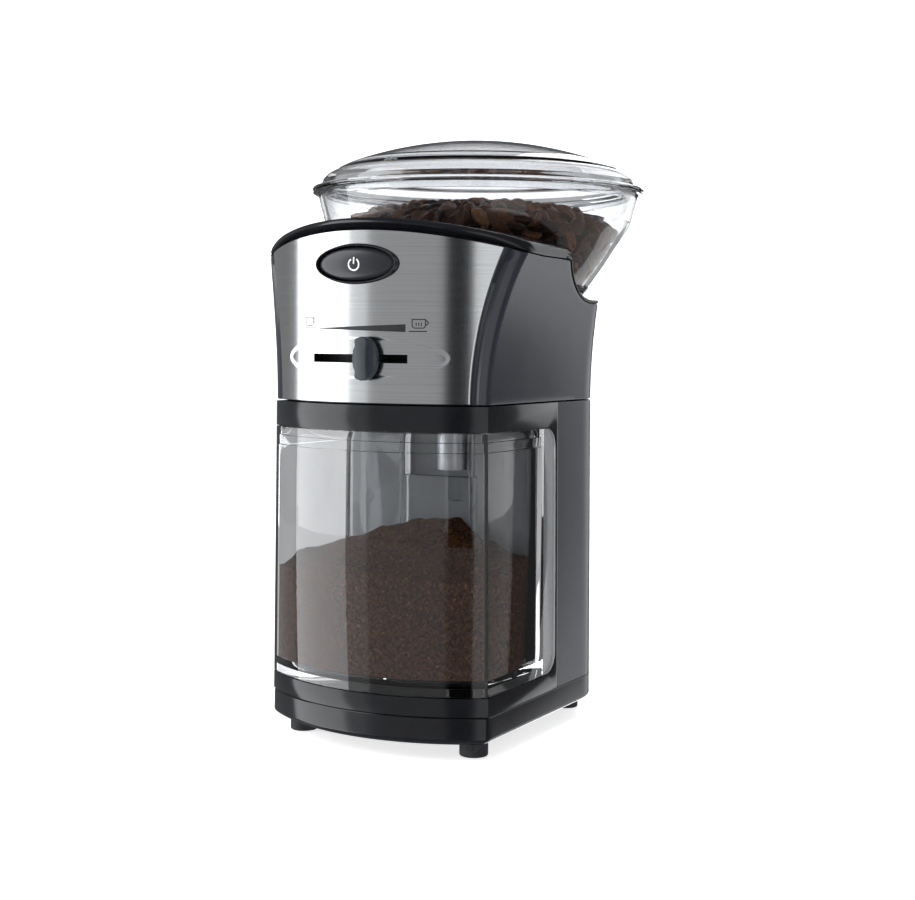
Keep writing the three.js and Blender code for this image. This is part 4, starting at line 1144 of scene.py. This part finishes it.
# ---- controls ----
# A domed start button of black gloss ABS in a thin bezel, and a ribbed slider knob in slate
# grey that sets the amount.
button_mat = moulded("button_abs", (0.014, 0.0145, 0.018), (0.019, 0.0195, 0.024), 0.16, 0.24)
button_low, button_high = (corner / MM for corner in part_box("start_button"))
cap_half = (button_high.x, (button_high.z - button_low.z) / 2)
CAP_DOME = 3.4
CAP_STEPS = 13
button_rings = [[(x, button_high.y, z) for x, z in ellipse(0, BUTTON_Z, *cap_half)]]
for step in range(CAP_STEPS):
    lean = step / (CAP_STEPS - 1) * math.pi / 2 * 0.995
    y = button_low.y + CAP_DOME * (1 - math.sin(lean))
    oval = ellipse(0, BUTTON_Z, *(half * math.cos(lean) for half in cap_half))
    button_rings.append([(x, y, z) for x, z in oval])
button_cap = skin("button_cap", button_rings)
add_piece(button_cap, "start_button", "button_black", button_mat, "start_button")


def cap_depth(x, z):
    level = min(math.hypot(x / cap_half[0], (z - BUTTON_Z) / cap_half[1]), 1)
    return button_low.y + CAP_DOME * (1 - math.sqrt(1 - level ** 2))


power = [line_strip(arc_points(0.4, 200.9, 2.45, 2.35, 122, 418, 28), 0.6),
         line_strip([(0.4, 201.1), (0.4, 202.4), (0.4, 203.8)], 0.6)]
add_piece(print_marks("power_symbol", power, cap_depth), "start_button", None, white_ink)

bezel_low, bezel_high = (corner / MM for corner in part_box("button_bezel"))
bezel_half = (bezel_high.x, (bezel_high.z - bezel_low.z) / 2)
BEZEL_WIDE = 0.65
bezel_profile = [(0, bezel_high.y), (0, bezel_low.y), (BEZEL_WIDE, bezel_low.y),
                 (BEZEL_WIDE, bezel_high.y)]
bezel_rings = []
for inset, y in soft(bezel_profile, 0.3):
    oval = ellipse(0, BUTTON_Z, bezel_half[0] - inset, bezel_half[1] - inset, 96)
    bezel_rings.append([(x, y, z) for x, z in oval])
bezel_ring = skin("bezel_ring", bezel_rings, along=True)
add_piece(bezel_ring, "housing", "black_gloss", black_gloss, "button_bezel")

slate = moulded("slate_knob", (0.022, 0.029, 0.036), (0.032, 0.040, 0.048), 0.35, 0.5, grain=0.01)
knob_mesh = merged_copy("quantity_knob", "slider_knob")
slider_knob = bevelled(knob_mesh, "slider_knob", 0.5, 3)
add_piece(slider_knob, "quantity_knob", "knob_grey", slate, "quantity_knob")

# ---- spout ----
# A short tube of satin metal under the grinding chamber.
satin_metal = clouded("satin_spout", (400, 3, (0.5, 0.51, 0.53), (0.62, 0.63, 0.65)),
                      (700, 3, 0.28, 0.42), Metallic=1.0).material
SPOUT_WALL = 1.2
spout_low, spout_high = (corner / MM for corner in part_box("outlet_spout"))
spout_radius = (spout_high.x - spout_low.x) / 2
spout_profile = rectangle(spout_radius - SPOUT_WALL, spout_radius, spout_low.z, spout_high.z)
spout = lathe("spout_tube", soft(spout_profile, 0.35), (spout_low.x + spout_high.x) / 2,
              (spout_low.y + spout_high.y) / 2, 64)
add_piece(spout, "housing", "spout_metal", satin_metal, "outlet_spout")

# ---- inner parts ----
# What the shells hold keeps its CAD shape: nylon, iron, copper, steel and the board.
inner = {
    "inner_natural": moulded("natural_nylon", (0.62, 0.60, 0.54), (0.74, 0.72, 0.66), 0.4, 0.55),
    "inner_black": moulded("plain_black", (0.018, 0.018, 0.02), (0.03, 0.03, 0.032), 0.45, 0.6),
    "foot_rubber": rubber,
    "screw_steel": zinc,
    "black_gloss": black_gloss,
}
for slot_name, low_tone, high_tone, metal in (
        ("burr_steel", (0.40, 0.40, 0.41), (0.52, 0.52, 0.53), 1.0),
        ("motor_iron", (0.20, 0.20, 0.21), (0.30, 0.30, 0.31), 1.0),
        ("copper_brass", (0.55, 0.27, 0.12), (0.68, 0.38, 0.20), 1.0),
        ("board_green", (0.02, 0.09, 0.035), (0.035, 0.14, 0.055), 0.0)):
    made = clouded(slot_name + "_finish", (350, 4, low_tone, high_tone), (600, 3, 0.3, 0.5),
                   Metallic=metal)
    made.bump(made.noise(1500, 2), 0.01, 0.5)
    inner[slot_name] = made.material
for entry in frame["record"]["subparts"]:
    thing = nodes[entry["node"]]
    if not thing.hide_render and entry["material_slot"] in inner:
        add_finish(thing, inner[entry["material_slot"]])
add_finish(nodes["interlock_plunger"], wall_grey)
